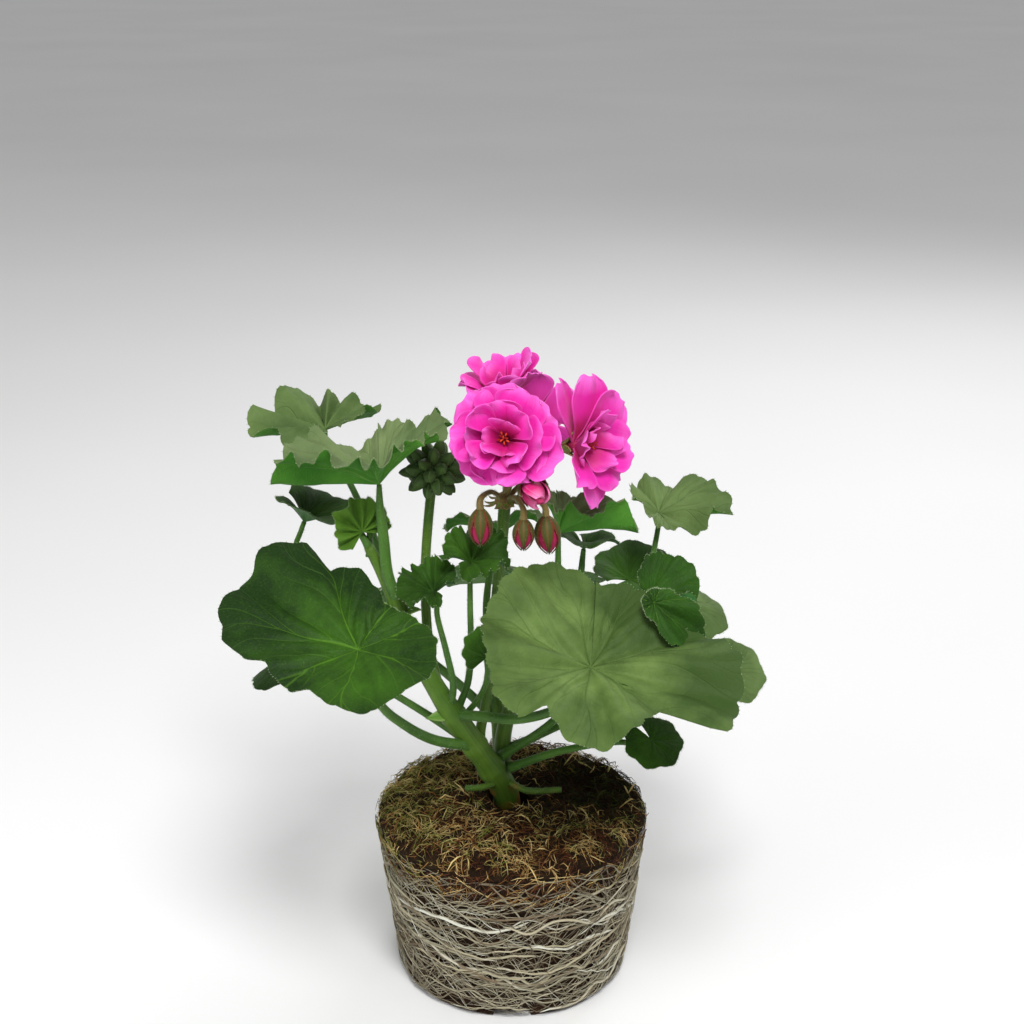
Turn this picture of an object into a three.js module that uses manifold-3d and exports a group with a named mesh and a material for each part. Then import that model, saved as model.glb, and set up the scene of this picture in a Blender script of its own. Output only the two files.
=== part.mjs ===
// Zonal geranium with its bare root ball, as one reusable part.
// Millimetres, +Z up. The origin is the centre of the root ball's flat base, and -Y is the front.
import * as THREE from "three";
import Module from "manifold-3d";

const wasm = await Module();
wasm.setup();

// Driving dimensions
const BALL_TOP_RADIUS = 52;
const BALL_BASE_RADIUS = 42.5;
const BALL_HEIGHT = 62;
const MOSS_HEIGHT = 71;
const DRAIN_CHANNEL = [14, 24, 5.2];
const GAP = 0.35;
const BLADE_THICKNESS = 0.7;
const PETAL_THICKNESS = 0.65;
const STEM_SIDES = 7;
const STEM_HOLE_RADIUS = 7;
const PLUG_HOLE = [-1.8, 3, 50];
const MOSS_HOLE = [-2.4, 2.4, 60];
const ROOT_STRANDS = 12;
const STRAWS = 15;
const YOUNG_BUDS = 12;
const SEEDS = { moss: 5, umbel: 11, roots: 21, florets: 31 };

// Colours
const COLOURS = {
  peat: 0x3d2e22,
  moss: 0x7a6a2e,
  root: 0xc9bf9f,
  stem: 0x5f8a2e,
  darkLeaf: 0x2f5220,
  midLeaf: 0x4a6b35,
  greyLeaf: 0x6f8455,
  brightLeaf: 0x3f8a30,
  shootLeaf: 0x7da83c,
  petal: 0xee44c8,
  petalDeep: 0xd92a9c,
  stamen: 0xc9301f,
  closedBud: 0x5c5a30,
  greenBud: 0x3a5426,
};

const vec = (p) => new THREE.Vector3(...p);
const mix = THREE.MathUtils.lerp;
const rad = THREE.MathUtils.degToRad;

// A closed mesh from points and triangles, turned so that its faces point out.
function closedMesh(points, triangles) {
  let volume = 0;
  for (const [a, b, c] of triangles) {
    volume += points[a].dot(points[b].clone().cross(points[c]));
  }
  const index = triangles.flatMap(([a, b, c]) => (volume < 0 ? [a, c, b] : [a, b, c]));
  const geometry = new THREE.BufferGeometry();
  const positions = points.flatMap((p) => [p.x, p.y, p.z]);
  geometry.setAttribute("position", new THREE.Float32BufferAttribute(positions, 3));
  geometry.setIndex(index);
  return geometry;
}

function toSolid(geometry) {
  return new wasm.Manifold(new wasm.Mesh({
    numProp: 3,
    vertProperties: geometry.getAttribute("position").array,
    triVerts: Uint32Array.from(geometry.getIndex().array),
  }));
}

function toGeometry(solid) {
  const mesh = solid.getMesh();
  const geometry = new THREE.BufferGeometry();
  geometry.setAttribute("position", new THREE.BufferAttribute(mesh.vertProperties, 3));
  geometry.setIndex(new THREE.BufferAttribute(mesh.triVerts, 1));
  return geometry;
}

const join = (solids) => solids.reduce((sum, next) => sum.add(next));

// The largest body of a solid: scraps left loose by a cut are dropped.
function wholePiece(solid) {
  const bodies = solid.decompose();
  return bodies.reduce((best, body) => (body.volume() > best.volume() ? body : best));
}

// A repeatable random number from 0 to 1.
function seeded(seed) {
  let state = seed;
  return () => {
    state = (state * 1664525 + 1013904223) % 4294967296;
    return state / 4294967296;
  };
}

// A closed tapering tube along a smooth curve through the points.
function tube(points, radii, sides, steps = points.length + 1, extra = 0) {
  const curve = new THREE.CatmullRomCurve3(points.map(vec), false, "centripetal");
  const frames = curve.computeFrenetFrames(steps, false);
  const ring = [];
  for (let i = 0; i <= steps; i += 1) {
    const u = i / steps;
    const centre = curve.getPointAt(u);
    const at = u * (radii.length - 1);
    const low = Math.min(Math.floor(at), radii.length - 2);
    const radius = mix(radii[low], radii[low + 1], at - low) + extra;
    for (let k = 0; k < sides; k += 1) {
      const angle = (2 * Math.PI * k) / sides;
      const outward = frames.normals[i].clone().multiplyScalar(Math.cos(angle));
      outward.addScaledVector(frames.binormals[i], Math.sin(angle));
      ring.push(centre.clone().addScaledVector(outward, radius));
    }
  }
  const triangles = [];
  for (let i = 0; i < steps; i += 1) {
    for (let k = 0; k < sides; k += 1) {
      const a = i * sides + k;
      const b = i * sides + ((k + 1) % sides);
      triangles.push([a, b, b + sides], [a, b + sides, a + sides]);
    }
  }
  const last = steps * sides;
  for (let k = 1; k < sides - 1; k += 1) {
    triangles.push([0, k + 1, k], [last, last + k, last + k + 1]);
  }
  return closedMesh(ring, triangles);
}

// The frame of a blade or a petal: its face looks along `face` and it grows along `grow`.
function bladeFrame(face, grow) {
  const z = vec(face).normalize();
  const x = vec(grow).addScaledVector(z, -vec(grow).dot(z)).normalize();
  return new THREE.Matrix4().makeBasis(x, z.clone().cross(x), z);
}

// Gives a sheet of points its thickness. Rows hold equal numbers of points. Both faces are split alike.
function thicken(rows, thickness, fanCentre) {
  const columns = rows[0].length;
  const flat = rows.flat();
  const faces = [];
  for (let i = 0; i + 1 < rows.length; i += 1) {
    for (let k = 0; k + 1 < columns; k += 1) {
      const a = i * columns + k;
      faces.push([a, a + columns, a + columns + 1], [a, a + columns + 1, a + 1]);
    }
  }
  if (fanCentre) {
    flat.push(fanCentre);
    for (let k = 0; k + 1 < columns; k += 1) {
      faces.push([flat.length - 1, k, k + 1]);
    }
  }
  const normals = flat.map(() => new THREE.Vector3());
  for (const [a, b, c] of faces) {
    const normal = flat[b].clone().sub(flat[a]).cross(flat[c].clone().sub(flat[a]));
    [a, b, c].forEach((corner) => normals[corner].add(normal));
  }
  const count = flat.length;
  const upper = flat.map((p, i) => p.clone().addScaledVector(normals[i].normalize(), thickness / 2));
  const lower = flat.map((p, i) => p.clone().addScaledVector(normals[i], -thickness / 2));
  const triangles = faces.flatMap(([a, b, c]) => [[a, b, c], [a + count, c + count, b + count]]);
  const edges = new Map();
  for (const [a, b, c] of faces) {
    for (const [from, to] of [[a, b], [b, c], [c, a]]) {
      edges.set(`${from},${to}`, [from, to]);
    }
  }
  for (const [from, to] of edges.values()) {
    if (!edges.has(`${to},${from}`)) {
      triangles.push([from, from + count, to + count], [from, to + count, to]);
    }
  }
  return closedMesh([...upper, ...lower], triangles);
}

// Leaf blades

const LOBES = 7;

// The margin: a round blade, fullest at `lean` from its tip, with shallow lobes and small scallops.
function margin(share, lean, scallop) {
  const angle = share * Math.PI;
  const round = 1 + 0.13 * Math.cos(angle - rad(lean));
  const basal = 1 - 0.16 * Math.max(0, (Math.abs(share) - 0.82) / 0.18) ** 2;
  const lobe = 1 + 0.045 * Math.cos(LOBES * angle);
  return round * basal * lobe * (1 + 0.022 * scallop);
}

// Slope of the blade at a reach from 0, its centre, to 1, its margin, through three given slopes.
function slopeAt([centre, middle, rim], reach) {
  const inner = centre * (1 - reach) * (1 - 2 * reach);
  const outer = rim * reach * (2 * reach - 1);
  return inner + middle * 4 * reach * (1 - reach) + outer;
}

// One point of a blade, found by walking out from its centre along the slope.
function bladePoint(leaf, share, reach, scallop) {
  const [fold = 0, foldAxis = 0] = leaf.fold ?? [];
  const [wave = 0, waves = 4, phase = 0] = leaf.wave ?? [];
  const angle = share * (Math.PI - rad(leaf.sinus ?? 9));
  const length = leaf.radius * margin(share, leaf.lean ?? 0, scallop);
  const walk = 8;
  let out = 0;
  let up = 0;
  for (let i = 0; i < walk; i += 1) {
    const at = (reach * (i + 0.5)) / walk;
    const folded = fold * at * (0.5 - 0.5 * Math.cos(2 * (angle - rad(foldAxis))));
    const waved = wave * at * at * Math.sin(waves * angle + rad(phase));
    const slope = rad(slopeAt(leaf.slopes, at) + folded + waved);
    out += (Math.cos(slope) * length * reach) / walk;
    up += (Math.sin(slope) * length * reach) / walk;
  }
  return new THREE.Vector3(out * Math.cos(angle), out * Math.sin(angle), up);
}

// Spokes round a blade and the reaches of its rings
const DETAIL = {
  large: [LOBES * 5, [0.36, 0.72, 1]],
  curled: [LOBES * 3, [0.4, 0.76, 1]],
  medium: [LOBES * 3, [0.52, 1]],
  small: [LOBES * 2, [0.55, 1]],
};

function leafBlade(leaf) {
  const [spokes, reaches] = DETAIL[leaf.detail ?? "medium"];
  const frame = bladeFrame(leaf.face, leaf.open.map((n) => -n)).setPosition(vec(leaf.attach));
  const rows = reaches.map((reach) => {
    const row = [];
    for (let k = 0; k <= spokes; k += 1) {
      const scallop = reach < 1 ? 0 : 1 - 2 * (k % 2);
      row.push(bladePoint(leaf, (2 * k) / spokes - 1, reach, scallop).applyMatrix4(frame));
    }
    return row;
  });
  return toSolid(thicken(rows, BLADE_THICKNESS, vec(leaf.attach)));
}

// A leaf: its blade and its petiole, which runs up from the stem and meets the blade from below.
function leafSolid(leaf) {
  const face = vec(leaf.face).normalize();
  const below = vec(leaf.attach).addScaledVector(face, -4).toArray();
  const [thick, thin] = leaf.thickness ?? [1.7, 1.2];
  const points = [...leaf.stalk, below, leaf.attach];
  const sides = leaf.radius > 20 ? 5 : 4;
  const petiole = tube(points, [thick, mix(thick, thin, 0.5), thin, 0.9], sides);
  return leafBlade(leaf).add(toSolid(petiole));
}

const LEAVES = {
  leaf_left_large: {
    attach: [-55, -58, 160], face: [-0.12, -0.34, 0.93], open: [0.8, 0.5, 0.3], radius: 37, detail: "large",
    lean: -50, slopes: [18, 12, 0], wave: [9, 3, 60], sinus: 3, thickness: [2.1, 1.6], colour: "darkLeaf",
    stalk: [[-14, -6, 94.5], [-28, -22, 105], [-39, -38, 120], [-46, -49, 134]],
  },
  leaf_right_large: {
    attach: [27, -48, 146], face: [0.12, -0.4, 0.9], open: [0.12, 0.86, 0.45], radius: 43, detail: "large",
    lean: 70, slopes: [20, 13, 2], wave: [12, 3, 20], sinus: 4, thickness: [2.0, 1.7], colour: "midLeaf",
    stalk: [[-21, -10, 109.5], [-10, -21, 114], [2.5, -30, 117.6], [18, -42, 129]],
  },
  leaf_crimped: {
    attach: [-47, -10, 200], face: [-0.34, 0.02, 0.94], open: [0.1, 1, 0.1], radius: 34, detail: "large",
    slopes: [18, 20, -10], fold: [36, 90], wave: [18, 5, 30], sinus: 8, thickness: [2.3, 1.9],
    colour: "brightLeaf",
    stalk: [[-41.5, -6, 152], [-45, -8, 165], [-46, -8, 178], [-47, -9, 190]],
  },
  leaf_top_left: {
    attach: [-70, 32, 207], face: [-0.1, -0.24, 0.96], open: [0.45, -0.9, 0.1], radius: 24, detail: "curled",
    lean: 30, slopes: [12, 26, -10], wave: [44, 4, 200], sinus: 14, colour: "greyLeaf",
    stalk: [[-43, -3, 153], [-50, 12, 168], [-60, 26, 186], [-68, 31, 199]],
  },
  leaf_under_crimped: {
    attach: [-77, 14, 177], face: [0.35, -0.05, 0.93], open: [-1, 0.3, 0], radius: 17,
    slopes: [38, 34, 10], wave: [14, 3, 0], colour: "darkLeaf",
    stalk: [[-36, -7, 138], [-52, 2, 145], [-70, 8, 156], [-80, 9, 167]],
  },
  leaf_top_right: {
    attach: [55, 20, 178], face: [0.06, -0.32, 0.94], open: [-0.9, -0.5, -0.2], radius: 21, detail: "curled",
    lean: 0, slopes: [16, 14, -14], wave: [36, 4, 40], sinus: 14, colour: "greyLeaf",
    stalk: [[13, 12, 133], [34, 10, 136], [51, 11, 147], [53, 16, 163]],
  },
  leaf_funnel: {
    attach: [20, 5, 172], face: [0.3, 0, 0.95], open: [-0.3, 0.9, 0.2], radius: 24, detail: "curled",
    slopes: [34, 36, -16], wave: [22, 5, 0], colour: "brightLeaf",
    stalk: [[15, 12, 136], [18, 8, 148], [19, 5, 160]],
  },
  leaf_funnel_small: {
    attach: [27, 20, 164], face: [0.1, 0.1, 0.98], open: [-0.3, 0.9, 0.2], radius: 13, detail: "small",
    slopes: [30, 26, -10], wave: [20, 4, 0], colour: "darkLeaf",
    stalk: [[23, 14, 146], [26, 18, 155]],
  },
  leaf_cup: {
    attach: [51, -2, 152], face: [-0.3, -0.55, 0.78], open: [-0.8, -0.5, -0.3], radius: 17,
    slopes: [24, 20, -14], fold: [-20, 30], colour: "brightLeaf",
    stalk: [[-4, 0, 87], [13, -5, 102], [32, -7, 124], [46, -4, 142]],
  },
  leaf_right_lower: {
    attach: [59, -27, 142], face: [0.5, -0.35, 0.8], open: [-0.9, 0.4, 0], radius: 15, detail: "small",
    slopes: [0, -14, -26], colour: "brightLeaf",
    stalk: [[9, 10, 126], [22, -3, 122], [46, -24, 128]],
  },
  leaf_right_folded: {
    attach: [68, 16, 143], face: [0.4, -0.45, 0.8], open: [-0.9, 0.3, 0.1], radius: 14, detail: "small",
    slopes: [0, -20, -34], fold: [30, 90], colour: "greyLeaf",
    stalk: [[8, 11, 121], [30, 15, 120], [56, 17, 130]],
  },
  leaf_right_light: {
    attach: [80, -6, 126], face: [0.3, -0.6, 0.75], open: [-0.95, 0.2, -0.1], radius: 13, detail: "small",
    slopes: [6, 0, -16], colour: "greyLeaf",
    stalk: [[-1, 4, 88], [28, 8, 100], [60, 0, 112]],
  },
  leaf_low_right: {
    attach: [52, -8, 98], face: [0.1, -0.55, 0.83], open: [-0.6, 0.7, 0.2], radius: 11, detail: "small",
    slopes: [8, 0, -14], colour: "darkLeaf",
    stalk: [[-1, -1, 82.5], [19, -9, 94], [40, -8, 97]],
  },
  leaf_behind_right: {
    attach: [46, 40, 143], face: [0.1, -0.3, 0.95], open: [-0.7, -0.7, 0], radius: 17,
    slopes: [10, 20, -10], wave: [14, 3, 0], colour: "darkLeaf",
    stalk: [[12, 11, 130], [26, 22, 131], [40, 34, 136]],
  },
  leaf_crumpled_left: {
    attach: [-28, -16, 161], face: [-0.25, -0.45, 0.85], open: [0.7, -0.7, 0], radius: 12, detail: "small",
    slopes: [20, 30, -20], wave: [36, 4, 0], sinus: 14, thickness: [1.4, 1.1], colour: "darkLeaf",
    stalk: [[-23, -10.5, 112], [-21.5, -15, 124], [-24, -15, 138], [-27, -15, 152]],
  },
  leaf_crumpled_middle: {
    attach: [-14.5, -17, 173], face: [0.1, -0.4, 0.9], open: [-0.7, -0.7, 0], radius: 13, detail: "small",
    slopes: [14, 24, -30], wave: [34, 4, 90], sinus: 14, thickness: [1.4, 1.1], colour: "darkLeaf",
    stalk: [[-21, -9, 109], [-16.5, -8, 121], [-15, -14, 140], [-15, -17, 157]],
  },
  leaf_fan: {
    attach: [-9, -24, 139], face: [0.1, -0.95, 0.3], open: [0.2, 0.2, -1], radius: 10, detail: "small",
    slopes: [10, 6, 0], fold: [40, 0], sinus: 70, thickness: [1.2, 1.0], colour: "darkLeaf",
    stalk: [[-19, -9, 107], [-12, -13, 118], [-9, -18, 129]],
  },
  leaf_back_left: {
    attach: [-56, 42, 132], face: [-0.45, 0.4, 0.8], open: [0.7, -0.7, 0.2], radius: 30,
    slopes: [12, 0, -22], wave: [8, 3, 0], sinus: 6, thickness: [2, 1.5], colour: "midLeaf",
    stalk: [[-6, 12, 97], [-24, 22, 110], [-46, 35, 123]],
  },
  leaf_back: {
    attach: [4, 66, 132], face: [0.05, 0.5, 0.86], open: [0, -0.9, 0.4], radius: 34, detail: "curled",
    slopes: [14, 2, -20], wave: [9, 3, 40], sinus: 6, thickness: [2, 1.6], colour: "midLeaf",
    stalk: [[-5, 14, 100], [-2, 34, 114], [1, 54, 126]],
  },
  leaf_back_right: {
    attach: [60, 56, 118], face: [0.4, 0.4, 0.82], open: [-0.7, -0.7, 0.2], radius: 28,
    slopes: [12, 0, -20], wave: [8, 3, 80], sinus: 6, thickness: [1.9, 1.5], colour: "darkLeaf",
    stalk: [[-4, 13, 97], [20, 30, 104], [48, 48, 112]],
  },
  leaf_left_side: {
    attach: [-74, 6, 128], face: [-0.45, 0.1, 0.88], open: [0.9, -0.2, 0.3], radius: 24,
    slopes: [12, 0, -22], wave: [9, 3, 0], sinus: 6, colour: "darkLeaf",
    stalk: [[-13, -3, 92], [-34, 2, 105], [-60, 5, 120]],
  },
  leaf_back_high: {
    attach: [-6, 44, 160], face: [-0.1, 0.4, 0.9], open: [0.3, -0.9, 0.3], radius: 21,
    slopes: [26, 24, -14], wave: [24, 4, 0], colour: "greyLeaf",
    stalk: [[-9, 24, 124], [-10, 32, 136], [-8, 40, 150]],
  },
};

// Stems

const STOCK = [[-1, 4, 53], [-3, 2, 71], [-8, -2, 83], [-14, -6, 94.5], [-22, -10, 109.5], [-30, -10, 124],
  [-37, -8, 138], [-42, -6, 152], [-47, -5, 164], [-52, -4, 174]];
const BRANCHES = [
  { path: STOCK, radii: [5.2, 5.4, 5.0, 4.4, 4.6, 3.7, 3.3, 3.5, 2.6, 1.8], sides: 8 },
  {
    path: [[-4, 2, 79], [-3, 6, 95], [4, 9, 116], [14, 12, 135], [24, 14, 148]],
    radii: [3.4, 3, 2.6, 2.2, 1.7],
  },
  { path: [[-4, 4, 80], [-5, 12, 95], [-8, 22, 118], [-9, 26, 130]], radii: [3.4, 3, 2.6, 1.8] },
  { path: [[-5, -3, 78], [-11, -7, 77.5], [-17.5, -9, 78]], radii: [1.3, 1.2, 1.1], sides: 5 },
  { path: [[-2, -1, 77], [6, -7, 76], [18.5, -10, 78]], radii: [1.3, 1.2, 1.1], sides: 5 },
];

const stems = (extra) => join(BRANCHES.map(({ path, radii, sides = STEM_SIDES }) => (
  toSolid(tube(path, radii, sides, 2 * path.length - 3, extra))
)));

// Small pointed stipules where leaves leave the stem.
const STIPULES = [
  { root: [-24, -12, 110], grow: [-0.6, -0.7, -0.1], face: [-0.3, -0.2, 0.9] },
  { root: [-39, -8, 149], grow: [0.7, -0.5, 0.6], face: [-0.5, -0.2, 0.8] },
  { root: [-43, -7, 150], grow: [-0.7, -0.4, 0.5], face: [0.5, -0.2, 0.8] },
];

const stipuleSolid = (stipule) => petalSolid({
  ...stipule, length: 8, width: 6, rise: 20, curl: -20, cup: 0.1, twist: 0, ruffle: 0, phase: 0,
  steps: 2, across: 2,
});

// The tip of the side shoot: young pleated leaves, still half folded.
const SHOOT_LEAVES = [
  {
    attach: [-54, -5, 180], face: [0.3, -0.9, 0.25], open: [0.35, 0, -1], radius: 11.5, detail: "small",
    slopes: [10, 16, 0], wave: [22, 7, 0], sinus: 64, stalk: [[-51, -4, 171], [-52.5, -4, 175]],
  },
  {
    attach: [-53, 1, 180], face: [-0.4, 0.75, 0.5], open: [0.2, -0.2, -1], radius: 9, detail: "small",
    slopes: [10, 16, 0], wave: [22, 7, 0], sinus: 60, stalk: [[-51, -4, 171], [-52, -1, 175]],
  },
];

// Bloom

const HUB = [-2.5, -8, 193];

// A petal: narrow at its claw, round and waved at its tip.
function petalSolid(petal) {
  const frame = bladeFrame(petal.face, petal.grow).setPosition(vec(petal.root));
  const steps = petal.steps ?? 3;
  const across = petal.across ?? 3;
  const rows = [];
  let out = 0;
  let up = 0;
  for (let i = 0; i <= steps; i += 1) {
    const u = i / steps;
    const claw = 0.18 + 0.82 * THREE.MathUtils.smoothstep(u, 0, 0.74);
    const tip = Math.sqrt(1 - (Math.max(0, u - 0.55) / 0.52) ** 2);
    const half = (petal.width / 2) * claw * tip;
    const row = [];
    for (let k = 0; k <= across; k += 1) {
      const v = (2 * k) / across - 1;
      const cup = (petal.cup * v * v + petal.twist * v) * half;
      const ruffle = petal.ruffle * u * u * Math.sin(4 * v + petal.phase);
      row.push(new THREE.Vector3(out, v * half, up + cup + ruffle).applyMatrix4(frame));
    }
    rows.push(row);
    const slope = rad(mix(petal.rise, petal.curl, u));
    out += (Math.cos(slope) * petal.length) / steps;
    up += (Math.sin(slope) * petal.length) / steps;
  }
  return toSolid(thicken(rows, PETAL_THICKNESS));
}

// A round body with a pointed or blunt end, for buds, calyces and the hearts of florets.
function ovoid(centre, along, length, width, sides = 6, levels = [0.2, 0.5, 0.8]) {
  const frame = bladeFrame(along, Math.abs(along[2]) > 0.9 ? [1, 0, 0] : [0, 0, 1]).setPosition(vec(centre));
  const points = [new THREE.Vector3(0, 0, -length / 2)];
  for (const level of levels) {
    const radius = (width / 2) * Math.sin(Math.PI * level) ** 0.6;
    for (let k = 0; k < sides; k += 1) {
      const angle = (2 * Math.PI * k) / sides;
      const height = length * (level - 0.5);
      points.push(new THREE.Vector3(radius * Math.cos(angle), radius * Math.sin(angle), height));
    }
  }
  points.push(new THREE.Vector3(0, 0, length / 2));
  const triangles = [];
  const top = points.length - 1;
  for (let k = 0; k < sides; k += 1) {
    const next = (k + 1) % sides;
    triangles.push([0, 1 + next, 1 + k], [top, top - sides + k, top - sides + next]);
    for (let i = 0; i + 1 < levels.length; i += 1) {
      const a = 1 + i * sides + k;
      const b = 1 + i * sides + next;
      triangles.push([a, b, b + sides], [a, b + sides, a + sides]);
    }
  }
  return closedMesh(points.map((p) => p.applyMatrix4(frame)), triangles);
}

// Florets: heart, the way that they face, petal length and the first and last slope of their outer petals.
const FLORETS = {
  floret_front: { at: [-2, -19, 219], axis: [-0.12, -0.93, 0.36], length: 19.5, slopes: [24, -14],
    outer: 6, inner: 5, stamens: true },
  floret_top: { at: [-2, 1, 227], axis: [-0.05, -0.05, 1], length: 18, slopes: [46, 30], outer: 5, inner: 2 },
  floret_right: { at: [22, -10, 214], axis: [0.8, -0.52, 0.26], length: 23, slopes: [38, -14],
    outer: 5, inner: 4, stamens: true },
  floret_back: { at: [7, 15, 216], axis: [0.3, 0.9, 0.3], length: 19, slopes: [30, -14], outer: 5, inner: 3 },
};

// A floret: broad outer petals, smaller inner ones, and the heart that they grow from.
function floretSolid({ at, axis, length, slopes, outer, inner }, seed) {
  const random = seeded(seed);
  const side = bladeFrame(axis, [0, 0, 1]);
  const spoke = (angle) => new THREE.Vector3(Math.cos(angle), Math.sin(angle), 0).applyMatrix4(side);
  const petals = [toSolid(ovoid(at, axis, 6, 4.8, 5, [0.3, 0.7]))];
  const ring = (count, share, width, [rise, curl], twist, lift, turn) => {
    for (let i = 0; i < count; i += 1) {
      const angle = rad(turn) + (2 * Math.PI * (i + 0.1 * (random() - 0.5))) / count;
      const root = vec(at).addScaledVector(spoke(angle), 1.2).addScaledVector(vec(axis).normalize(), lift);
      petals.push(petalSolid({
        root: root.toArray(),
        grow: spoke(angle).toArray(),
        face: axis,
        length: length * share * mix(0.94, 1.06, random()),
        width: length * width,
        rise: rise + 6 * (random() - 0.5),
        curl: curl + 16 * (random() - 0.5),
        cup: 0.1,
        twist,
        ruffle: 0.8,
        phase: 6 * random(),
      }));
    }
  };
  ring(outer, 1, 0.9, slopes, 0.2, 0, 0);
  ring(inner, 0.68, 0.58, [54, 24], 0.3, 1, 30);
  return join(petals);
}

// The red-orange stamens of a floret: a fluted bunch that spreads from the tip of its heart.
function stamensSolid({ at, axis }) {
  const frame = bladeFrame(axis, [0, 0, 1]).setPosition(vec(at));
  const flutes = 10;
  const points = [];
  for (const [height, deep, proud] of [[3 + GAP, 0.6, 0.8], [7, 1, 2.1], [8, 0.5, 1.5]]) {
    for (let k = 0; k < flutes; k += 1) {
      const angle = (2 * Math.PI * k) / flutes;
      const radius = k % 2 ? deep : proud;
      const point = new THREE.Vector3(radius * Math.cos(angle), radius * Math.sin(angle), height);
      points.push(point.applyMatrix4(frame));
    }
  }
  const triangles = [];
  for (let k = 0; k < 2 * flutes; k += 1) {
    const a = k;
    const b = k % flutes === flutes - 1 ? k + 1 - flutes : k + 1;
    triangles.push([a, b, b + flutes], [a, b + flutes, a + flutes]);
  }
  const middle = (height) => new THREE.Vector3(0, 0, height).applyMatrix4(frame);
  points.push(middle(3 + GAP), middle(7.6));
  for (let k = 0; k < flutes; k += 1) {
    const next = (k + 1) % flutes;
    triangles.push([3 * flutes, next, k], [3 * flutes + 1, 2 * flutes + k, 2 * flutes + next]);
  }
  return toSolid(closedMesh(points, triangles));
}

// Buds: place, the way that their tips point, length and width.
const BUDS = {
  bud_opening: { at: [7.5, -25, 202], along: [0.3, -0.6, -0.6], size: [12, 10.5], colour: "petalDeep" },
  bud_left: { at: [-11, -24, 189], along: [0, -0.1, -1], size: [13, 8], colour: "closedBud" },
  bud_middle: { at: [4, -22, 185.5], along: [0, -0.1, -1], size: [11, 7], colour: "closedBud" },
  bud_right: { at: [12.5, -18, 184], along: [0.1, -0.1, -1], size: [13.5, 8.6], colour: "closedBud" },
};

// The flower stalk, its hub of bracts, and a pedicel to each floret and bud.
function flowerStalk(extra = 0) {
  const stalk = [[-6, 0, 81], [-12, 0, 93], [-10, 1, 108], [-8, 2, 124], [-6, -2, 150], [-4, -5, 172], HUB];
  const parts = [toSolid(tube(stalk, [2, 2, 2, 2, 2, 2.1, 2.3], 6, 9, extra))];
  parts.push(toSolid(ovoid(HUB, [0, 0, 1], 7 + extra, 8.4 + 2 * extra, 6, [0.3, 0.7])));
  for (const { at, axis } of Object.values(FLORETS)) {
    const foot = vec(at).addScaledVector(vec(axis).normalize(), -5);
    const bend = vec(HUB).lerp(foot, 0.5).add(new THREE.Vector3(0, 0, 1));
    parts.push(toSolid(tube([HUB, bend.toArray(), foot.toArray()], [1, 0.9, 0.9], 4, 3, extra)));
    parts.push(toSolid(ovoid(foot.toArray(), axis, 6 + extra, 4.2 + 2 * extra, 5, [0.3, 0.75])));
  }
  for (const { at, along, size } of Object.values(BUDS)) {
    const neck = vec(at).addScaledVector(vec(along).normalize(), 0.8 - size[0] / 2);
    const above = neck.clone().addScaledVector(vec(along).normalize(), -4);
    const bend = vec(HUB).lerp(above, 0.6).add(new THREE.Vector3(0, 0, 3));
    const path = [HUB, bend.toArray(), above.toArray(), neck.toArray()];
    parts.push(toSolid(tube(path, [0.9, 0.8, 0.9, 1.4], 4, 5, extra)));
  }
  return join(parts);
}

// The young umbel: a stalk with a dense head of closed green buds.
const UMBEL_CENTRE = [-28.5, 8, 199];

function youngUmbel() {
  const random = seeded(SEEDS.umbel);
  const stalk = [[-27, -9, 118], [-31, 0, 134], [-32, 5, 160], [-30.5, 7, 182], UMBEL_CENTRE];
  const parts = [toSolid(tube(stalk, [1.9, 1.9, 1.8, 1.8, 1.8], 6, 8))];
  parts.push(toSolid(ovoid(UMBEL_CENTRE, [0, 0, 1], 11, 12, 8)));
  for (let i = 0; i < YOUNG_BUDS; i += 1) {
    const height = 0.95 - (1.75 * i) / (YOUNG_BUDS - 1);
    const angle = i * 2.4 + 0.3 * random();
    const flat = Math.sqrt(1 - height * height);
    const away = new THREE.Vector3(flat * Math.cos(angle), flat * Math.sin(angle), height);
    const centre = vec(UMBEL_CENTRE).addScaledVector(away, 7);
    parts.push(toSolid(ovoid(centre.toArray(), away.toArray(), 10.5, 5.4, 5, [0.35, 0.75])));
  }
  return join(parts);
}

// Root ball

// The plug of peat: a tapered body with a soft relief and the drain channels of its old pot.
function rootBall() {
  const levels = [0, 0.04, 0.25, 0.5, 0.75, 1];
  const rim = 0.8;
  const profile = [new THREE.Vector2(0, 0)];
  for (const level of levels) {
    const radius = mix(BALL_BASE_RADIUS, BALL_TOP_RADIUS - 2, level) - (level === 0 ? rim : 0);
    profile.push(new THREE.Vector2(radius, level * BALL_HEIGHT));
  }
  profile.push(new THREE.Vector2(0, BALL_HEIGHT));
  const plug = latheSolid(profile, 34, (angle, z) => (
    z > 1 && z < BALL_HEIGHT - 1 ? -0.5 + 0.5 * Math.sin(5 * angle + z / 6) * Math.sin(9 * angle - z / 9) : 0
  ));
  let ball = plug.subtract(cylinder(PLUG_HOLE, STEM_HOLE_RADIUS, 20, 12));
  for (const turn of [0, 90, 180, 270]) {
    const cut = new THREE.BoxGeometry(...DRAIN_CHANNEL);
    cut.translate(0, -BALL_BASE_RADIUS, 0);
    cut.rotateZ(rad(turn));
    ball = ball.subtract(weldedSolid(cut));
  }
  return ball;
}

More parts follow.
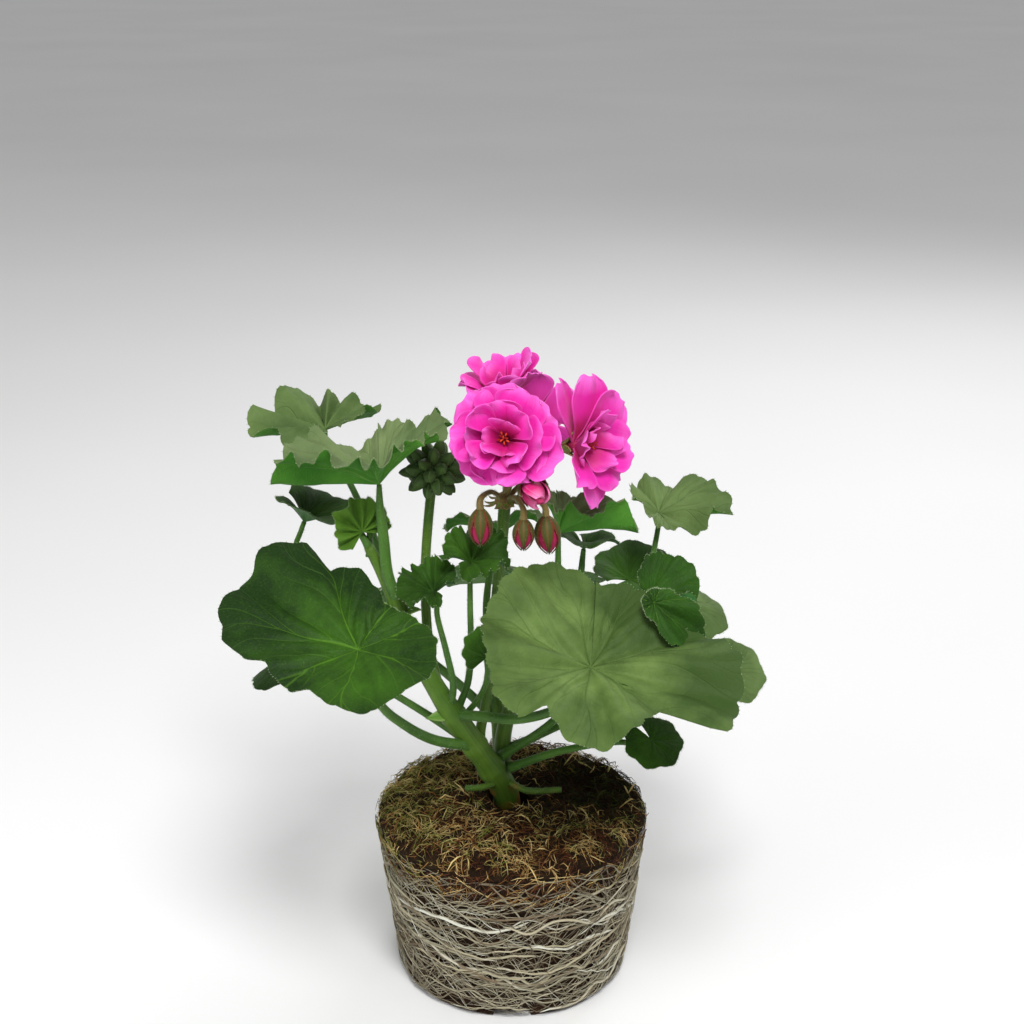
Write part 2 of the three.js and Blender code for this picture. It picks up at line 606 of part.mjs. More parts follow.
// The solid of a geometry whose seams repeat their points: equal points are merged.
function weldedSolid(geometry) {
  const positions = geometry.getAttribute("position");
  const places = new Map();
  const points = [];
  const order = [];
  for (let i = 0; i < positions.count; i += 1) {
    const point = new THREE.Vector3().fromBufferAttribute(positions, i);
    const key = point.toArray().map((n) => Math.round(n * 1e4) + 0).join();
    if (!places.has(key)) {
      places.set(key, points.length);
      points.push(point);
    }
    order.push(places.get(key));
  }
  const index = Array.from(geometry.getIndex().array, (i) => order[i]);
  const triangles = [];
  for (let i = 0; i < index.length; i += 3) {
    const [a, b, c] = index.slice(i, i + 3);
    if (a !== b && b !== c && c !== a) {
      triangles.push([a, b, c]);
    }
  }
  return toSolid(closedMesh(points, triangles));
}

// A turned body about +Z whose radius is changed by a formula of angle and height.
function latheSolid(profile, segments, relief) {
  const geometry = new THREE.LatheGeometry(profile, segments);
  geometry.rotateX(Math.PI / 2);
  const positions = geometry.getAttribute("position");
  for (let i = 0; i < positions.count; i += 1) {
    const point = new THREE.Vector3().fromBufferAttribute(positions, i);
    const radius = Math.hypot(point.x, point.y);
    if (radius > 1) {
      const grown = (radius + relief(Math.atan2(point.y, point.x), point.z)) / radius;
      positions.setXY(i, point.x * grown, point.y * grown);
    }
  }
  return weldedSolid(geometry);
}

function cylinder([x, y, z], radius, height, sides) {
  const geometry = new THREE.CylinderGeometry(radius, radius, height, sides);
  geometry.rotateX(Math.PI / 2);
  geometry.translate(x, y, z + height / 2);
  return weldedSolid(geometry);
}

// The cap of moss and peat fibres, with the plain hole that the stem stands in.
function mossCap() {
  const bottom = BALL_HEIGHT + GAP;
  const rim = [[50, bottom], [51.8, 65], [49, 68.5]];
  const shape = [[0, bottom], ...rim, [38, 70], [24, MOSS_HEIGHT], [10, MOSS_HEIGHT + 1]];
  const profile = shape.map(([r, z]) => new THREE.Vector2(r, z));
  profile.push(new THREE.Vector2(0, MOSS_HEIGHT + 1));
  const geometry = new THREE.LatheGeometry(profile, 22);
  geometry.rotateX(Math.PI / 2);
  const positions = geometry.getAttribute("position");
  for (let i = 0; i < positions.count; i += 1) {
    const point = new THREE.Vector3().fromBufferAttribute(positions, i);
    if (point.z > bottom + 1) {
      const radius = Math.hypot(point.x, point.y);
      const angle = Math.atan2(point.y, point.x);
      const lump = Math.sin(7 * angle + radius / 5) + Math.sin(4 * angle - radius / 7);
      positions.setZ(i, point.z + (radius > 12 ? 0.9 * lump : 0));
    }
  }
  const random = seeded(SEEDS.moss);
  let cap = weldedSolid(geometry);
  for (let i = 0; i < STRAWS; i += 1) {
    cap = cap.add(straw(random));
  }
  const hole = cylinder(MOSS_HOLE, STEM_HOLE_RADIUS + 0.6, 20, 12);
  return wholePiece(cap.subtract(hole));
}

// One coarse straw that lies half sunk in the cap.
function straw(random) {
  const angle = 2 * Math.PI * random();
  const radius = 14 + 32 * Math.sqrt(random());
  const turn = 2 * Math.PI * random();
  const half = 4 + 6 * random();
  const centre = [radius * Math.cos(angle), radius * Math.sin(angle)];
  const ends = [-1, 1].map((side) => [
    centre[0] + side * half * Math.cos(turn),
    centre[1] + side * half * Math.sin(turn),
    MOSS_HEIGHT - 0.6 - 0.04 * radius + side * random(),
  ]);
  return toSolid(tube(ends, [0.9, 0.9], 4, 1));
}

// The pale roots: flattened strands that wind round the plug, cross and hold together as a net.
function rootNet() {
  const random = seeded(SEEDS.roots);
  const strands = [];
  for (let i = 0; i < ROOT_STRANDS; i += 1) {
    const level = mix(4, 56, i / (ROOT_STRANDS - 1));
    const start = 2 * Math.PI * random();
    const length = mix(3.4, 5.4, random());
    const drift = 14 * (random() - 0.5);
    const sway = 2 + 2.6 * random();
    const beat = 2 + 2 * random();
    strands.push(rootStrand(start, length, (share, angle) => (
      THREE.MathUtils.clamp(level + drift * (share - 0.5) + sway * Math.sin(beat * angle + start), 3, 58)
    ), mix(2.4, 3.6, random())));
  }
  return wholePiece(join(strands));
}

// One strand: its straight steps sag towards the plug, so that it starts a little proud of it.
function rootStrand(start, length, heightAt, width) {
  const steps = Math.ceil(length / rad(18));
  const sag = 0.6;
  const points = [];
  for (let i = 0; i <= steps; i += 1) {
    const angle = start + (length * i) / steps;
    const z = heightAt(i / steps, angle);
    const plug = mix(BALL_BASE_RADIUS, BALL_TOP_RADIUS - 2, z / BALL_HEIGHT);
    const inner = plug + GAP + sag;
    const tip = i === 0 || i === steps ? 0.4 : 1;
    for (const [radius, rise] of [[inner, -0.5], [inner + 1.5 * tip, 0], [inner, 0.5]]) {
      const height = z + rise * width * tip;
      points.push(new THREE.Vector3(radius * Math.cos(angle), radius * Math.sin(angle), height));
    }
  }
  const triangles = [[0, 2, 1]];
  for (let i = 0; i < steps; i += 1) {
    for (let k = 0; k < 3; k += 1) {
      const a = 3 * i + k;
      const b = 3 * i + ((k + 1) % 3);
      triangles.push([a, b, b + 3], [a, b + 3, a + 3]);
    }
  }
  const last = 3 * steps;
  triangles.push([last, last + 1, last + 2]);
  return toSolid(closedMesh(points, triangles));
}

// Assembly

const plant = new THREE.Group();
plant.name = "geranium";

function place(name, solid, colour, roughness = 0.6) {
  const material = new THREE.MeshStandardMaterial({ color: COLOURS[colour], roughness, metalness: 0 });
  const mesh = new THREE.Mesh(toGeometry(solid), material);
  mesh.name = name;
  plant.add(mesh);
}

const carrier = stems(GAP);

place("root_ball", rootBall(), "peat", 0.95);
place("roots", rootNet(), "root", 0.8);
place("moss_cap", mossCap(), "moss", 0.95);
place("main_stem", join([stems(0), ...STIPULES.map(stipuleSolid)]), "stem");
const shootTip = join(SHOOT_LEAVES.map((leaf) => leafSolid(leaf)));
place("shoot_tip", wholePiece(shootTip.subtract(carrier)), "shootLeaf");
place("flower_stalk", wholePiece(flowerStalk().subtract(carrier)), "stem");
place("young_umbel", wholePiece(youngUmbel().subtract(carrier)), "greenBud");

const stalkClearance = flowerStalk(GAP);
for (const [name, { at, along, size, colour }] of Object.entries(BUDS)) {
  const bud = toSolid(ovoid(at, along, size[0], size[1], 8));
  place(name, wholePiece(bud.subtract(stalkClearance)), colour);
}
Object.entries(FLORETS).forEach(([name, floret], i) => {
  const petals = floretSolid(floret, SEEDS.florets + i);
  place(name, wholePiece(petals.subtract(stalkClearance)), "petal", 0.5);
  if (floret.stamens) {
    place(name.replace("floret", "stamens"), stamensSolid(floret), "stamen");
  }
});
for (const [name, leaf] of Object.entries(LEAVES)) {
  place(name, wholePiece(leafSolid(leaf).subtract(carrier)), leaf.colour);
}

export default plant;
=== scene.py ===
"""A zonal geranium in bloom on its bare root ball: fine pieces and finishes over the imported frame.

Sizes are in millimetres until a shape becomes a mesh. +Z is up and -Y is the front.
"""

import math

import bpy
import numpy as np
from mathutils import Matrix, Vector, noise


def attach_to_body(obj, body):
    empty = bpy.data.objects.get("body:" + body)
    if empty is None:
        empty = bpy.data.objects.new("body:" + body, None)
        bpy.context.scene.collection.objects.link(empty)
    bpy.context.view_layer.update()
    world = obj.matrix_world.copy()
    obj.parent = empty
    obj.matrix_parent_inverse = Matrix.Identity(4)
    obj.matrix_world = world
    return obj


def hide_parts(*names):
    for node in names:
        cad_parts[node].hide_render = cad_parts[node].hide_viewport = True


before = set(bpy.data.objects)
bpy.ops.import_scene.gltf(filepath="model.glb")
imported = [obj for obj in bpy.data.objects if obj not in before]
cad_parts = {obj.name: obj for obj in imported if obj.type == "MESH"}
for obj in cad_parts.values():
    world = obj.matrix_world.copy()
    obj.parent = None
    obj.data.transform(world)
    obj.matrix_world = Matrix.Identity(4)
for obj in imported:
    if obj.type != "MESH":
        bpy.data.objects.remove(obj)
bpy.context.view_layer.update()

MM = 0.001
BODY = "root"

# Root ball
BALL_TOP_RADIUS = 52
BALL_BASE_RADIUS = 42.5
BALL_HEIGHT = 62
MOSS_HEIGHT = 71
CHANNEL_WIDTH = 14
CHANNEL_DEPTH = 12
CHANNEL_HEIGHT = 2.6
FIBRE_STEPS = 4

# Foliage
LOBES = 7
FORK = 0.38
FORK_SPREAD = 0.36
LOW_FORK = 0.16
LOW_FORK_SPREAD = 0.52
TWIG_FORK = 0.64
TWIG_SPREAD = 0.26
VEIN_SWAY = 0.07
BLADE_THICKNESS = 0.5
PETAL_THICKNESS = 0.45

# The photograph's camera, in metres
CAMERA_PLACE = (0, -0.595, 0.400)
CAMERA_PITCH = math.radians(90 - 19.8)
CAMERA_LENS = 61.45
SENSOR = 36


# Numbers

def srgb(red, green, blue):
    """A colour as the eye sees it, from 0 to 255, in a shader's linear values."""
    shares = (value / 255 for value in (red, green, blue))
    linear = [s / 12.92 if s <= 0.04045 else ((s + 0.055) / 1.055) ** 2.4 for s in shares]
    return (*linear, 1.0)


def unit(vectors):
    vectors = np.asarray(vectors, float)
    return vectors / np.maximum(np.linalg.norm(vectors, axis=-1, keepdims=True), 1e-9)


def smoothstep(value, low, high):
    share = np.clip((value - low) / (high - low), 0, 1)
    return share * share * (3 - 2 * share)


def mix(first, second, share):
    return first + (second - first) * share


def seeded(seed):
    """The same repeatable random numbers as the solids are made with."""
    state = seed
    while True:
        state = (state * 1664525 + 1013904223) % 2**32
        yield state / 2**32


def rough(points, scale, seed=0.0, octaves=4):
    """Fractal noise at each point, about -1 to 1."""
    spots = np.asarray(points).reshape(-1, 3) / scale + seed
    values = [noise.fractal(Vector(p), 0.9, 2.1, octaves) for p in spots.tolist()]
    return np.array(values).reshape(np.asarray(points).shape[:-1])


# Shapes

class Shape:
    """Points and faces that become one mesh, with a pattern coordinate and a tone at each point."""

    def __init__(self):
        self.points = []
        self.flat = []
        self.tones = []
        self.faces = []
        self.slots = []
        self.count = 0

    def add(self, points, faces, flat=None, tone=0.5, slot=0):
        points = np.asarray(points, float).reshape(-1, 3)
        size = len(points)
        self.points.append(points)
        self.flat.append(np.zeros((size, 2)) if flat is None else np.asarray(flat, float).reshape(-1, 2))
        self.tones.append(np.broadcast_to(np.asarray(tone, float).ravel(), size))
        for group in faces if isinstance(faces, list) else [faces]:
            self.faces.append(np.asarray(group) + self.count)
            self.slots.append(np.full(len(group), slot))
        self.count += size

    def piece(self, name, materials, slot, nodes=()):
        """Makes the mesh and its object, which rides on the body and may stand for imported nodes."""
        points = np.concatenate(self.points) * MM
        loops = np.concatenate([group.ravel() for group in self.faces])
        sizes = np.concatenate([np.full(len(group), group.shape[1]) for group in self.faces])
        mesh = bpy.data.meshes.new(name)
        mesh.vertices.add(len(points))
        mesh.vertices.foreach_set("co", points.ravel())
        mesh.loops.add(len(loops))
        mesh.loops.foreach_set("vertex_index", loops)
        mesh.polygons.add(len(sizes))
        mesh.polygons.foreach_set("loop_start", np.concatenate([[0], np.cumsum(sizes)[:-1]]))
        mesh.polygons.foreach_set("material_index", np.concatenate(self.slots))
        mesh.polygons.foreach_set("use_smooth", np.ones(len(sizes), bool))
        flat = np.concatenate(self.flat)
        mesh.uv_layers.new(name="flat").data.foreach_set("uv", flat[loops].ravel())
        tones = mesh.attributes.new("tone", "FLOAT", "POINT")
        tones.data.foreach_set("value", np.concatenate(self.tones))
        mesh.update(calc_edges=True)
        for material in materials:
            mesh.materials.append(material)
        piece = bpy.data.objects.new(name, mesh)
        bpy.context.scene.collection.objects.link(piece)
        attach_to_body(piece, BODY)
        if nodes:
            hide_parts(*nodes)
        return piece


def grid_faces(rows, columns, wrap=False):
    """Quads between rows of points, closed round when wrapped."""
    across = np.arange(columns if wrap else columns - 1)[None, :]
    first = np.arange(rows - 1)[:, None] * columns
    a = first + across
    b = first + (across + 1) % columns
    return np.stack([a, b, b + columns, a + columns], -1).reshape(-1, 4)


def smooth_path(corners, count):
    """Evenly spaced points on a smooth curve through the corners."""
    corners = np.asarray(corners, float)
    before = 2 * corners[0] - corners[1]
    after = 2 * corners[-1] - corners[-2]
    knots = np.vstack([before, corners, after])
    t = np.linspace(0, 1, 24, endpoint=False)[:, None]
    dense = []
    for p0, p1, p2, p3 in zip(knots, knots[1:], knots[2:], knots[3:]):
        k0, k1, k2 = (np.linalg.norm(b - a) ** 0.5 for a, b in ((p0, p1), (p1, p2), (p2, p3)))
        start = k1 * ((p1 - p0) / k0 - (p2 - p0) / (k0 + k1) + (p2 - p1) / k1)
        finish = k1 * ((p2 - p1) / k1 - (p3 - p1) / (k1 + k2) + (p3 - p2) / k2)
        ease = 3 * t**2 - 2 * t**3
        dense.append(p1 + (p2 - p1) * ease + start * (t - 2 * t**2 + t**3) + finish * (t**3 - t**2))
    dense = np.vstack([*dense, corners[-1:]])
    run = np.concatenate([[0], np.cumsum(np.linalg.norm(np.diff(dense, axis=0), axis=1))])
    at = np.linspace(0, run[-1], count)
    return np.stack([np.interp(at, run, dense[:, k]) for k in range(3)], 1)


def spread(values, count):
    """Values drawn out evenly to a count."""
    return np.interp(np.linspace(0, 1, count), np.linspace(0, 1, len(values)), values)


def path_frames(path):
    """The direction along a path and two directions across it, without twist."""
    along = unit(np.gradient(path, axis=0))
    side = np.cross(along[0], (0, 0, 1) if abs(along[0][2]) < 0.9 else (1, 0, 0))
    sides = np.empty_like(path)
    for i, direction in enumerate(along):
        side = unit(side - direction * side.dot(direction))
        sides[i] = side
    return along, sides, np.cross(along, sides)


def tube(shape, path, radii, sides=8, tone=0.5, slot=0, ribs=0.0, rib_count=0):
    """A closed tube round a path, ribbed lengthwise if asked."""
    along, first, second = path_frames(path)
    count = len(path)
    angle = np.linspace(0, 2 * math.pi, sides, endpoint=False)
    round_about = np.cos(angle)[:, None] * first[:, None] + np.sin(angle)[:, None] * second[:, None]
    swell = 1 + ribs * np.cos(rib_count * angle)
    rings = path[:, None] + round_about * (np.asarray(radii)[:, None] * swell)[..., None]
    points = np.vstack([rings.reshape(-1, 3), path[:1], path[-1:]])
    around = np.arange(sides)
    following = (around + 1) % sides
    last = (count - 1) * sides
    caps = [
        np.stack([np.full(sides, count * sides), following, around], 1),
        np.stack([np.full(sides, count * sides + 1), last + around, last + following], 1),
    ]
    run = np.linspace(0, 1, count)
    flat = np.stack(np.broadcast_arrays(run[:, None], np.linspace(0, 1, sides)[None]), -1).reshape(-1, 2)
    flat = np.vstack([flat, [[0, 0.5], [1, 0.5]]])
    if np.ndim(tone):
        tone = np.concatenate([np.repeat(tone, sides), [tone[0], tone[-1]]])
    shape.add(points, [grid_faces(count, sides, wrap=True), *caps], flat, tone, slot)


def sheet(shape, middle, thickness, flat, tone=0.5, slots=(0, 0)):
    """A thin body over a grid of points, with an upper face, a lower face and a rim."""
    rows, columns = middle.shape[:2]
    normal = unit(np.cross(np.gradient(middle, axis=0), np.gradient(middle, axis=1)))
    normal[0] = normal[1]
    half = (np.asarray(thickness) / 2 * np.ones((rows, columns)))[..., None]
    upper = (middle + normal * half).reshape(-1, 3)
    lower = (middle - normal * half).reshape(-1, 3)
    tone = np.broadcast_to(tone, (rows, columns)).ravel()
    flat = np.asarray(flat).reshape(-1, 2)
    quads = grid_faces(rows, columns)
    shape.add(upper, quads[:, ::-1], flat, tone, slots[0])
    shape.add(lower, quads, flat, tone, slots[1])
    index = np.arange(rows * columns).reshape(rows, columns)
    rim = np.concatenate([index[:-1, 0], index[-1, :-1], index[:0:-1, -1], index[0, :0:-1]])
    edge = grid_faces(2, len(rim), wrap=True)[:, ::-1]
    shape.add(np.vstack([upper[rim], lower[rim]]), edge, np.vstack([flat[rim]] * 2), np.tile(tone[rim], 2), slots[0])
    return upper[rim]


def hairs(shape, roots, away, length, rng, tone=0.5, slot=0, width=0.045):
    """Fine pointed hairs that stand on given points."""
    count = len(roots)
    away = unit(np.asarray(away) + 0.45 * rng.normal(size=(count, 3)))
    side = unit(np.cross(away, rng.normal(size=(count, 3))))
    other = np.cross(away, side)
    base = [roots + width * (math.cos(a) * side + math.sin(a) * other) for a in (0, 2.1, 4.2)]
    tip = roots + away * (length * rng.uniform(0.5, 1.2, (count, 1)))
    points = np.stack([*base, tip], 1)
    corners = np.array([[0, 1, 3], [1, 2, 3], [2, 0, 3]])
    faces = (np.arange(count)[:, None, None] * 4 + corners).reshape(-1, 3)
    shape.add(points, faces, None, tone, slot)


def hairy(shape, path, radii, per_mm, length, rng, slot=0):
    """Hairs all round a tube."""
    _, first, second = path_frames(path)
    run = np.linalg.norm(np.diff(path, axis=0), axis=1).sum()
    count = int(per_mm * run)
    at = rng.uniform(0, len(path) - 1.001, count)
    low = at.astype(int)
    share = (at - low)[:, None]
    angle = rng.uniform(0, 2 * math.pi, (count, 1))
    away = np.cos(angle) * first[low] + np.sin(angle) * second[low]
    centre = mix(path[low], path[low + 1], share)
    thick = mix(np.asarray(radii)[low], np.asarray(radii)[low + 1], share[:, 0])[:, None]
    hairs(shape, centre + away * thick * 0.9, away, length, rng, 0.5, slot)


def frame_of(face, grow):
    """Axes of a blade or petal: it grows along x and its face looks along z. Rows are the axes."""
    z = unit(face)
    x = unit(np.asarray(grow, float) - z * np.dot(grow, z))
    return np.array([x, np.cross(z, x), z])


# Materials

class Finish:
    """A small builder of node materials."""

    def __init__(self, name, roughness, specular=0.4, sheen=0.0, subsurface=0.0, coat=0.0):
        self.material = bpy.data.materials.new(name)
        self.material.use_nodes = True
        self.tree = self.material.node_tree
        self.shader = self.tree.nodes["Principled BSDF"]
        self.set(self.shader, "Roughness", roughness)
        self.set(self.shader, "Specular IOR Level", specular)
        self.set(self.shader, "Sheen Weight", sheen)
        self.set(self.shader, "Sheen Roughness", 0.45)
        self.set(self.shader, "Coat Weight", coat)
        self.set(self.shader, "Subsurface Weight", subsurface)
        self.set(self.shader, "Subsurface Scale", 0.0015)

    def set(self, node, socket, value):
        if isinstance(value, bpy.types.NodeSocket):
            self.tree.links.new(value, node.inputs[socket])
        else:
            node.inputs[socket].default_value = value

    def make(self, kind, inputs, **settings):
        node = self.tree.nodes.new("ShaderNode" + kind)
        for key, value in settings.items():
            setattr(node, key, value)
        for socket, value in inputs.items():
            self.set(node, socket, value)
        return node

    def math(self, operation, *values):
        node = self.make("Math", dict(enumerate(values)), operation=operation)
        return node.outputs[0]

    def place(self):
        return self.make("TexCoord", {}).outputs["Object"]

    def flat(self):
        return self.make("UVMap", {}, uv_map="flat").outputs["UV"]

    def tone(self):
        return self.make("Attribute", {}, attribute_name="tone").outputs["Fac"]

    def split(self, vector):
        return self.make("SeparateXYZ", {0: vector}).outputs

    def stretch(self, vector, scale, shift=(0, 0, 0)):
        return self.make("Mapping", {"Vector": vector, "Scale": scale, "Location": shift}).outputs[0]

    def noise(self, vector, scale, detail=4.0, roughness=0.55, distortion=0.0):
        inputs = {"Vector": vector, "Scale": scale, "Detail": detail, "Roughness": roughness,
                  "Distortion": distortion}
        return self.make("TexNoise", inputs).outputs[0]

    def cells(self, vector, scale):
        inputs = {"Vector": vector, "Scale": scale}
        return self.make("TexVoronoi", inputs, feature="DISTANCE_TO_EDGE").outputs["Distance"]

    def step(self, value, low, high):
        inputs = {"Value": value, "From Min": low, "From Max": high}
        return self.make("MapRange", inputs, interpolation_type="SMOOTHSTEP").outputs[0]

    def ramp(self, value, *stops):
        node = self.make("ValToRGB", {0: value})
        elements = node.color_ramp.elements
        while len(elements) < len(stops):
            elements.new(0.5)
        for element, (position, colour) in zip(elements, stops):
            element.position = position
            element.color = colour
        return node.outputs[0]

    def blend(self, share, first, second, kind="MIX"):
        node = self.make("Mix", {0: share, 6: first, 7: second}, data_type="RGBA", blend_type=kind)
        return node.outputs[2]

    def done(self, colour, height=None, depth=0.0003, strength=1.0, roughness=None):
        self.set(self.shader, "Base Color", colour)
        if height is not None:
            inputs = {"Height": height, "Distance": depth, "Strength": strength}
            self.set(self.shader, "Normal", self.make("Bump", inputs).outputs[0])
        if roughness is not None:
            self.set(self.shader, "Roughness", roughness)
        return self.material


def vein_lines(finish, flat):
    """Forked veins of a blade from its pattern coordinates, from 0 to 1, and the reach."""
    x, y, _ = finish.split(flat)
    reach = finish.math("SQRT", finish.math("ADD", finish.math("MULTIPLY", x, x), finish.math("MULTIPLY", y, y)))
    angle = finish.math("ARCTAN2", y, x)
    sway = finish.math("SINE", finish.math("MULTIPLY_ADD", reach, 8.0, finish.math("MULTIPLY", angle, 5.0)))
    turn = finish.math("MULTIPLY_ADD", angle, LOBES / (2 * math.pi), finish.math("MULTIPLY", sway, VEIN_SWAY))
    nearest = finish.math("MINIMUM", finish.math("MAXIMUM", finish.math("ROUND", turn), -3), 3)
    lean = finish.math("MULTIPLY", finish.math("SUBTRACT", turn, nearest), 2 * math.pi / LOBES)
    beside = finish.math("MULTIPLY", reach, finish.math("ABSOLUTE", finish.math("SINE", lean)))
    later = finish.math("MULTIPLY", finish.math("GREATER_THAN", lean, 0), 0.12)
    along = finish.math("SUBTRACT", finish.math("MULTIPLY", reach, finish.math("COSINE", lean)), later)

    def forked(distance, start, spread_rate):
        run = finish.math("MAXIMUM", finish.math("SUBTRACT", along, start), 0.0)
        return finish.math("ABSOLUTE", finish.math("MULTIPLY_ADD", run, -spread_rate, distance))

    def line(distance, width, strength):
        thin = finish.math("MULTIPLY", finish.math("MULTIPLY_ADD", reach, -0.55, 1.0), width)
        return finish.math("MULTIPLY", finish.math("SUBTRACT", 1, finish.step(distance, 0.0, thin)), strength)

    branch = forked(beside, FORK, FORK_SPREAD)
    lines = [line(beside, 0.013, 1.0), line(branch, 0.011, 0.8),
             line(forked(beside, LOW_FORK, LOW_FORK_SPREAD), 0.01, 0.5),
             line(forked(branch, TWIG_FORK, TWIG_SPREAD), 0.009, 0.4)]
    veins = lines[0]
    for other in lines[1:]:
        veins = finish.math("MAXIMUM", veins, other)
    return veins, reach


def leaf_finish(name, light, dark, vein, marks=0.5, under=False):
    """Downy leaf skin: mottled green, darkened by painted shade where the tone is low, paler forked veins, a fine net
    between them and a faint dark zone.
    """
    finish = Finish(name, 0.6, 0.16, sheen=0.02)
    flat = finish.flat()
    place = finish.place()
    veins, reach = vein_lines(finish, flat)
    mottle = finish.noise(place, 45.0, 4.0)
    # The tone brings painted shade into the mottle: it is low on the shaded side of some blades.
    mottle = finish.math("MULTIPLY_ADD", finish.tone(), 0.5, finish.math("SUBTRACT", mottle, 0.25))
    colour = finish.ramp(mottle, (0.3, dark), (0.7, light))
    if not under:
        inner = finish.step(reach, 0.4, 0.62)
        outer = finish.math("SUBTRACT", 1, finish.step(reach, 0.66, 0.84))
        zone = finish.math("MULTIPLY", finish.math("MULTIPLY", inner, outer), 0.22)
        colour = finish.blend(zone, colour, dark)
    net = finish.math("SUBTRACT", 1, finish.step(finish.cells(flat, 19.0), 0.0, 0.09))
    fade = finish.math("MULTIPLY_ADD", reach, -0.8, 1.0)
    lines = finish.math("MAXIMUM", veins, finish.math("MULTIPLY", net, 0.1))
    lines = finish.math("MULTIPLY", finish.math("MULTIPLY", lines, fade), marks)
    colour = finish.blend(lines, colour, vein)
    down = finish.noise(place, 1500.0, 2.0)
    colour = finish.blend(finish.math("MULTIPLY", finish.step(down, 0.5, 0.75), 0.1), colour, vein)
    relief = 1.0 if under else -1.0
    ridge = finish.math("MULTIPLY_ADD", net, 0.25, veins)
    height = finish.math("MULTIPLY_ADD", ridge, relief, finish.math("MULTIPLY", down, 0.25))
    return finish.done(colour, height, 0.0003, 0.7)


def stem_finish(name, light, dark, rust):
    """Green stalk skin with soft patches and fine streaks, and rusty spots where the tone is low."""
    finish = Finish(name, 0.5, 0.25, sheen=0.05)
    place = finish.place()
    streak = finish.noise(finish.stretch(finish.flat(), (3, 26, 1)), 1.0, 4.0)
    patch = finish.noise(place, 60.0, 3.0)
    shade = finish.math("MULTIPLY_ADD", streak, 0.4, finish.math("MULTIPLY", patch, 0.6))
    colour = finish.ramp(shade, (0.35, dark), (0.65, light))
    worn = finish.math("MULTIPLY", finish.noise(place, 160.0, 3.0), finish.math("SUBTRACT", 1, finish.tone()))
    colour = finish.blend(finish.step(worn, 0.36, 0.6), colour, rust)
    return finish.done(colour, streak, 0.0003, 0.4)


def hair_finish(name, colour, pale):
    finish = Finish(name, 0.5, 0.4)
    shade = finish.noise(finish.place(), 200.0, 1.0)
    return finish.done(finish.ramp(shade, (0.3, colour), (0.7, pale)))


def petal_finish(name, claw, body, rim, vein):
    """Silky petal: dark at its claw, paler at its rim, with fine fanned veins; painted shade darkens it where the tone
    is low, and a painted highlight pales its side edges.
    """
    finish = Finish(name, 0.5, 0.22, sheen=0.05, subsurface=0.15)
    finish.set(finish.shader, "Subsurface Radius", (1.0, 0.35, 0.8))
    flat = finish.flat()
    across, along, _ = finish.split(flat)
    mottle = finish.noise(finish.place(), 70.0, 3.0)
    reach = finish.math("ADD", along, finish.math("MULTIPLY_ADD", mottle, 0.5, -0.25))
    colour = finish.ramp(reach, (0.0, claw), (0.3, body), (0.72, body), (1.0, rim))
    # Painted shade: where the tone is low the colour is pulled towards the claw colour.
    painted_shade = finish.math("SUBTRACT", 1, finish.step(finish.tone(), 0.1, 0.85))
    colour = finish.blend(finish.math("MULTIPLY", painted_shade, 0.75), colour, claw)
    fan = finish.make("CombineXYZ", {0: finish.math("MULTIPLY", across, 9.0), 1: finish.math("MULTIPLY", along, 0.8)})
    lines = finish.step(finish.noise(fan.outputs[0], 2.6, 3.0, 0.6, 0.2), 0.48, 0.68)
    colour = finish.blend(finish.math("MULTIPLY", lines, 0.28), colour, vein)
    # Painted highlight: the side edges of every petal are paled towards the rim colour.
    edge = finish.step(finish.math("ABSOLUTE", across), 0.82, 1.0)
    colour = finish.blend(finish.math("MULTIPLY", edge, 0.35), colour, rim)
    return finish.done(colour, lines, 0.0001, 0.35)


def bud_finish(name, middle, edge, stripe):
    """Bud scale: a green-brown back with a darker stripe and a reddish edge."""
    finish = Finish(name, 0.55, 0.2, sheen=0.03)
    across, along, _ = finish.split(finish.flat())
    rim = finish.step(finish.math("ABSOLUTE", across), 0.45, 0.95)
    colour = finish.blend(rim, middle, edge)
    keel = finish.math("SUBTRACT", 1, finish.step(finish.math("ABSOLUTE", across), 0.05, 0.3))
    colour = finish.blend(finish.math("MULTIPLY", keel, 0.6), colour, stripe)
    grain = finish.noise(finish.place(), 420.0, 3.0)
    colour = finish.blend(finish.math("MULTIPLY", grain, 0.3), colour, middle)
    return finish.done(colour, grain, 0.0002, 0.4)


def earth_finish(name, stops, scale, depth):
    """Crumbly matter whose colours are spread by noise."""
    finish = Finish(name, 0.95, 0.15)
    place = finish.place()
    coarse = finish.noise(place, scale, 8.0, 0.7)
    fine = finish.noise(place, scale * 7, 4.0, 0.7)
    blended = finish.math("MULTIPLY_ADD", fine, 0.4, finish.math("MULTIPLY", coarse, 0.6))
    colour = finish.ramp(blended, *stops)
    return finish.done(colour, blended, depth, 1.0)


def strand_finish(name, stops, roughness=0.75, spot=0.35):
    """Fibres and roots: the tone picks the colour, and noise along them varies it."""
    finish = Finish(name, roughness, 0.25)
    varied = finish.noise(finish.place(), 120.0, 3.0)
    value = finish.math("ADD", finish.tone(), finish.math("MULTIPLY_ADD", varied, spot, -spot / 2))
    return finish.done(finish.ramp(value, *stops), varied, 0.0002, 0.5)


LEAF_COLOURS = {
    # light, dark, vein, strength of the veins
    "leaf_dark": (srgb(56, 98, 18), srgb(22, 48, 8), srgb(100, 150, 38), 0.45),
    "leaf_mid": (srgb(110, 136, 70), srgb(56, 80, 32), srgb(70, 96, 38), 0.6),
    "leaf_grey": (srgb(104, 128, 72), srgb(66, 90, 42), srgb(84, 108, 54), 0.5),
    "leaf_bright": (srgb(118, 136, 88), srgb(78, 100, 56), srgb(96, 116, 68), 0.5),
    "leaf_vivid": (srgb(48, 92, 16), srgb(22, 50, 8), srgb(98, 142, 44), 0.6),
    "shoot_leaf": (srgb(92, 134, 40), srgb(58, 98, 24), srgb(130, 162, 70), 0.6),
}

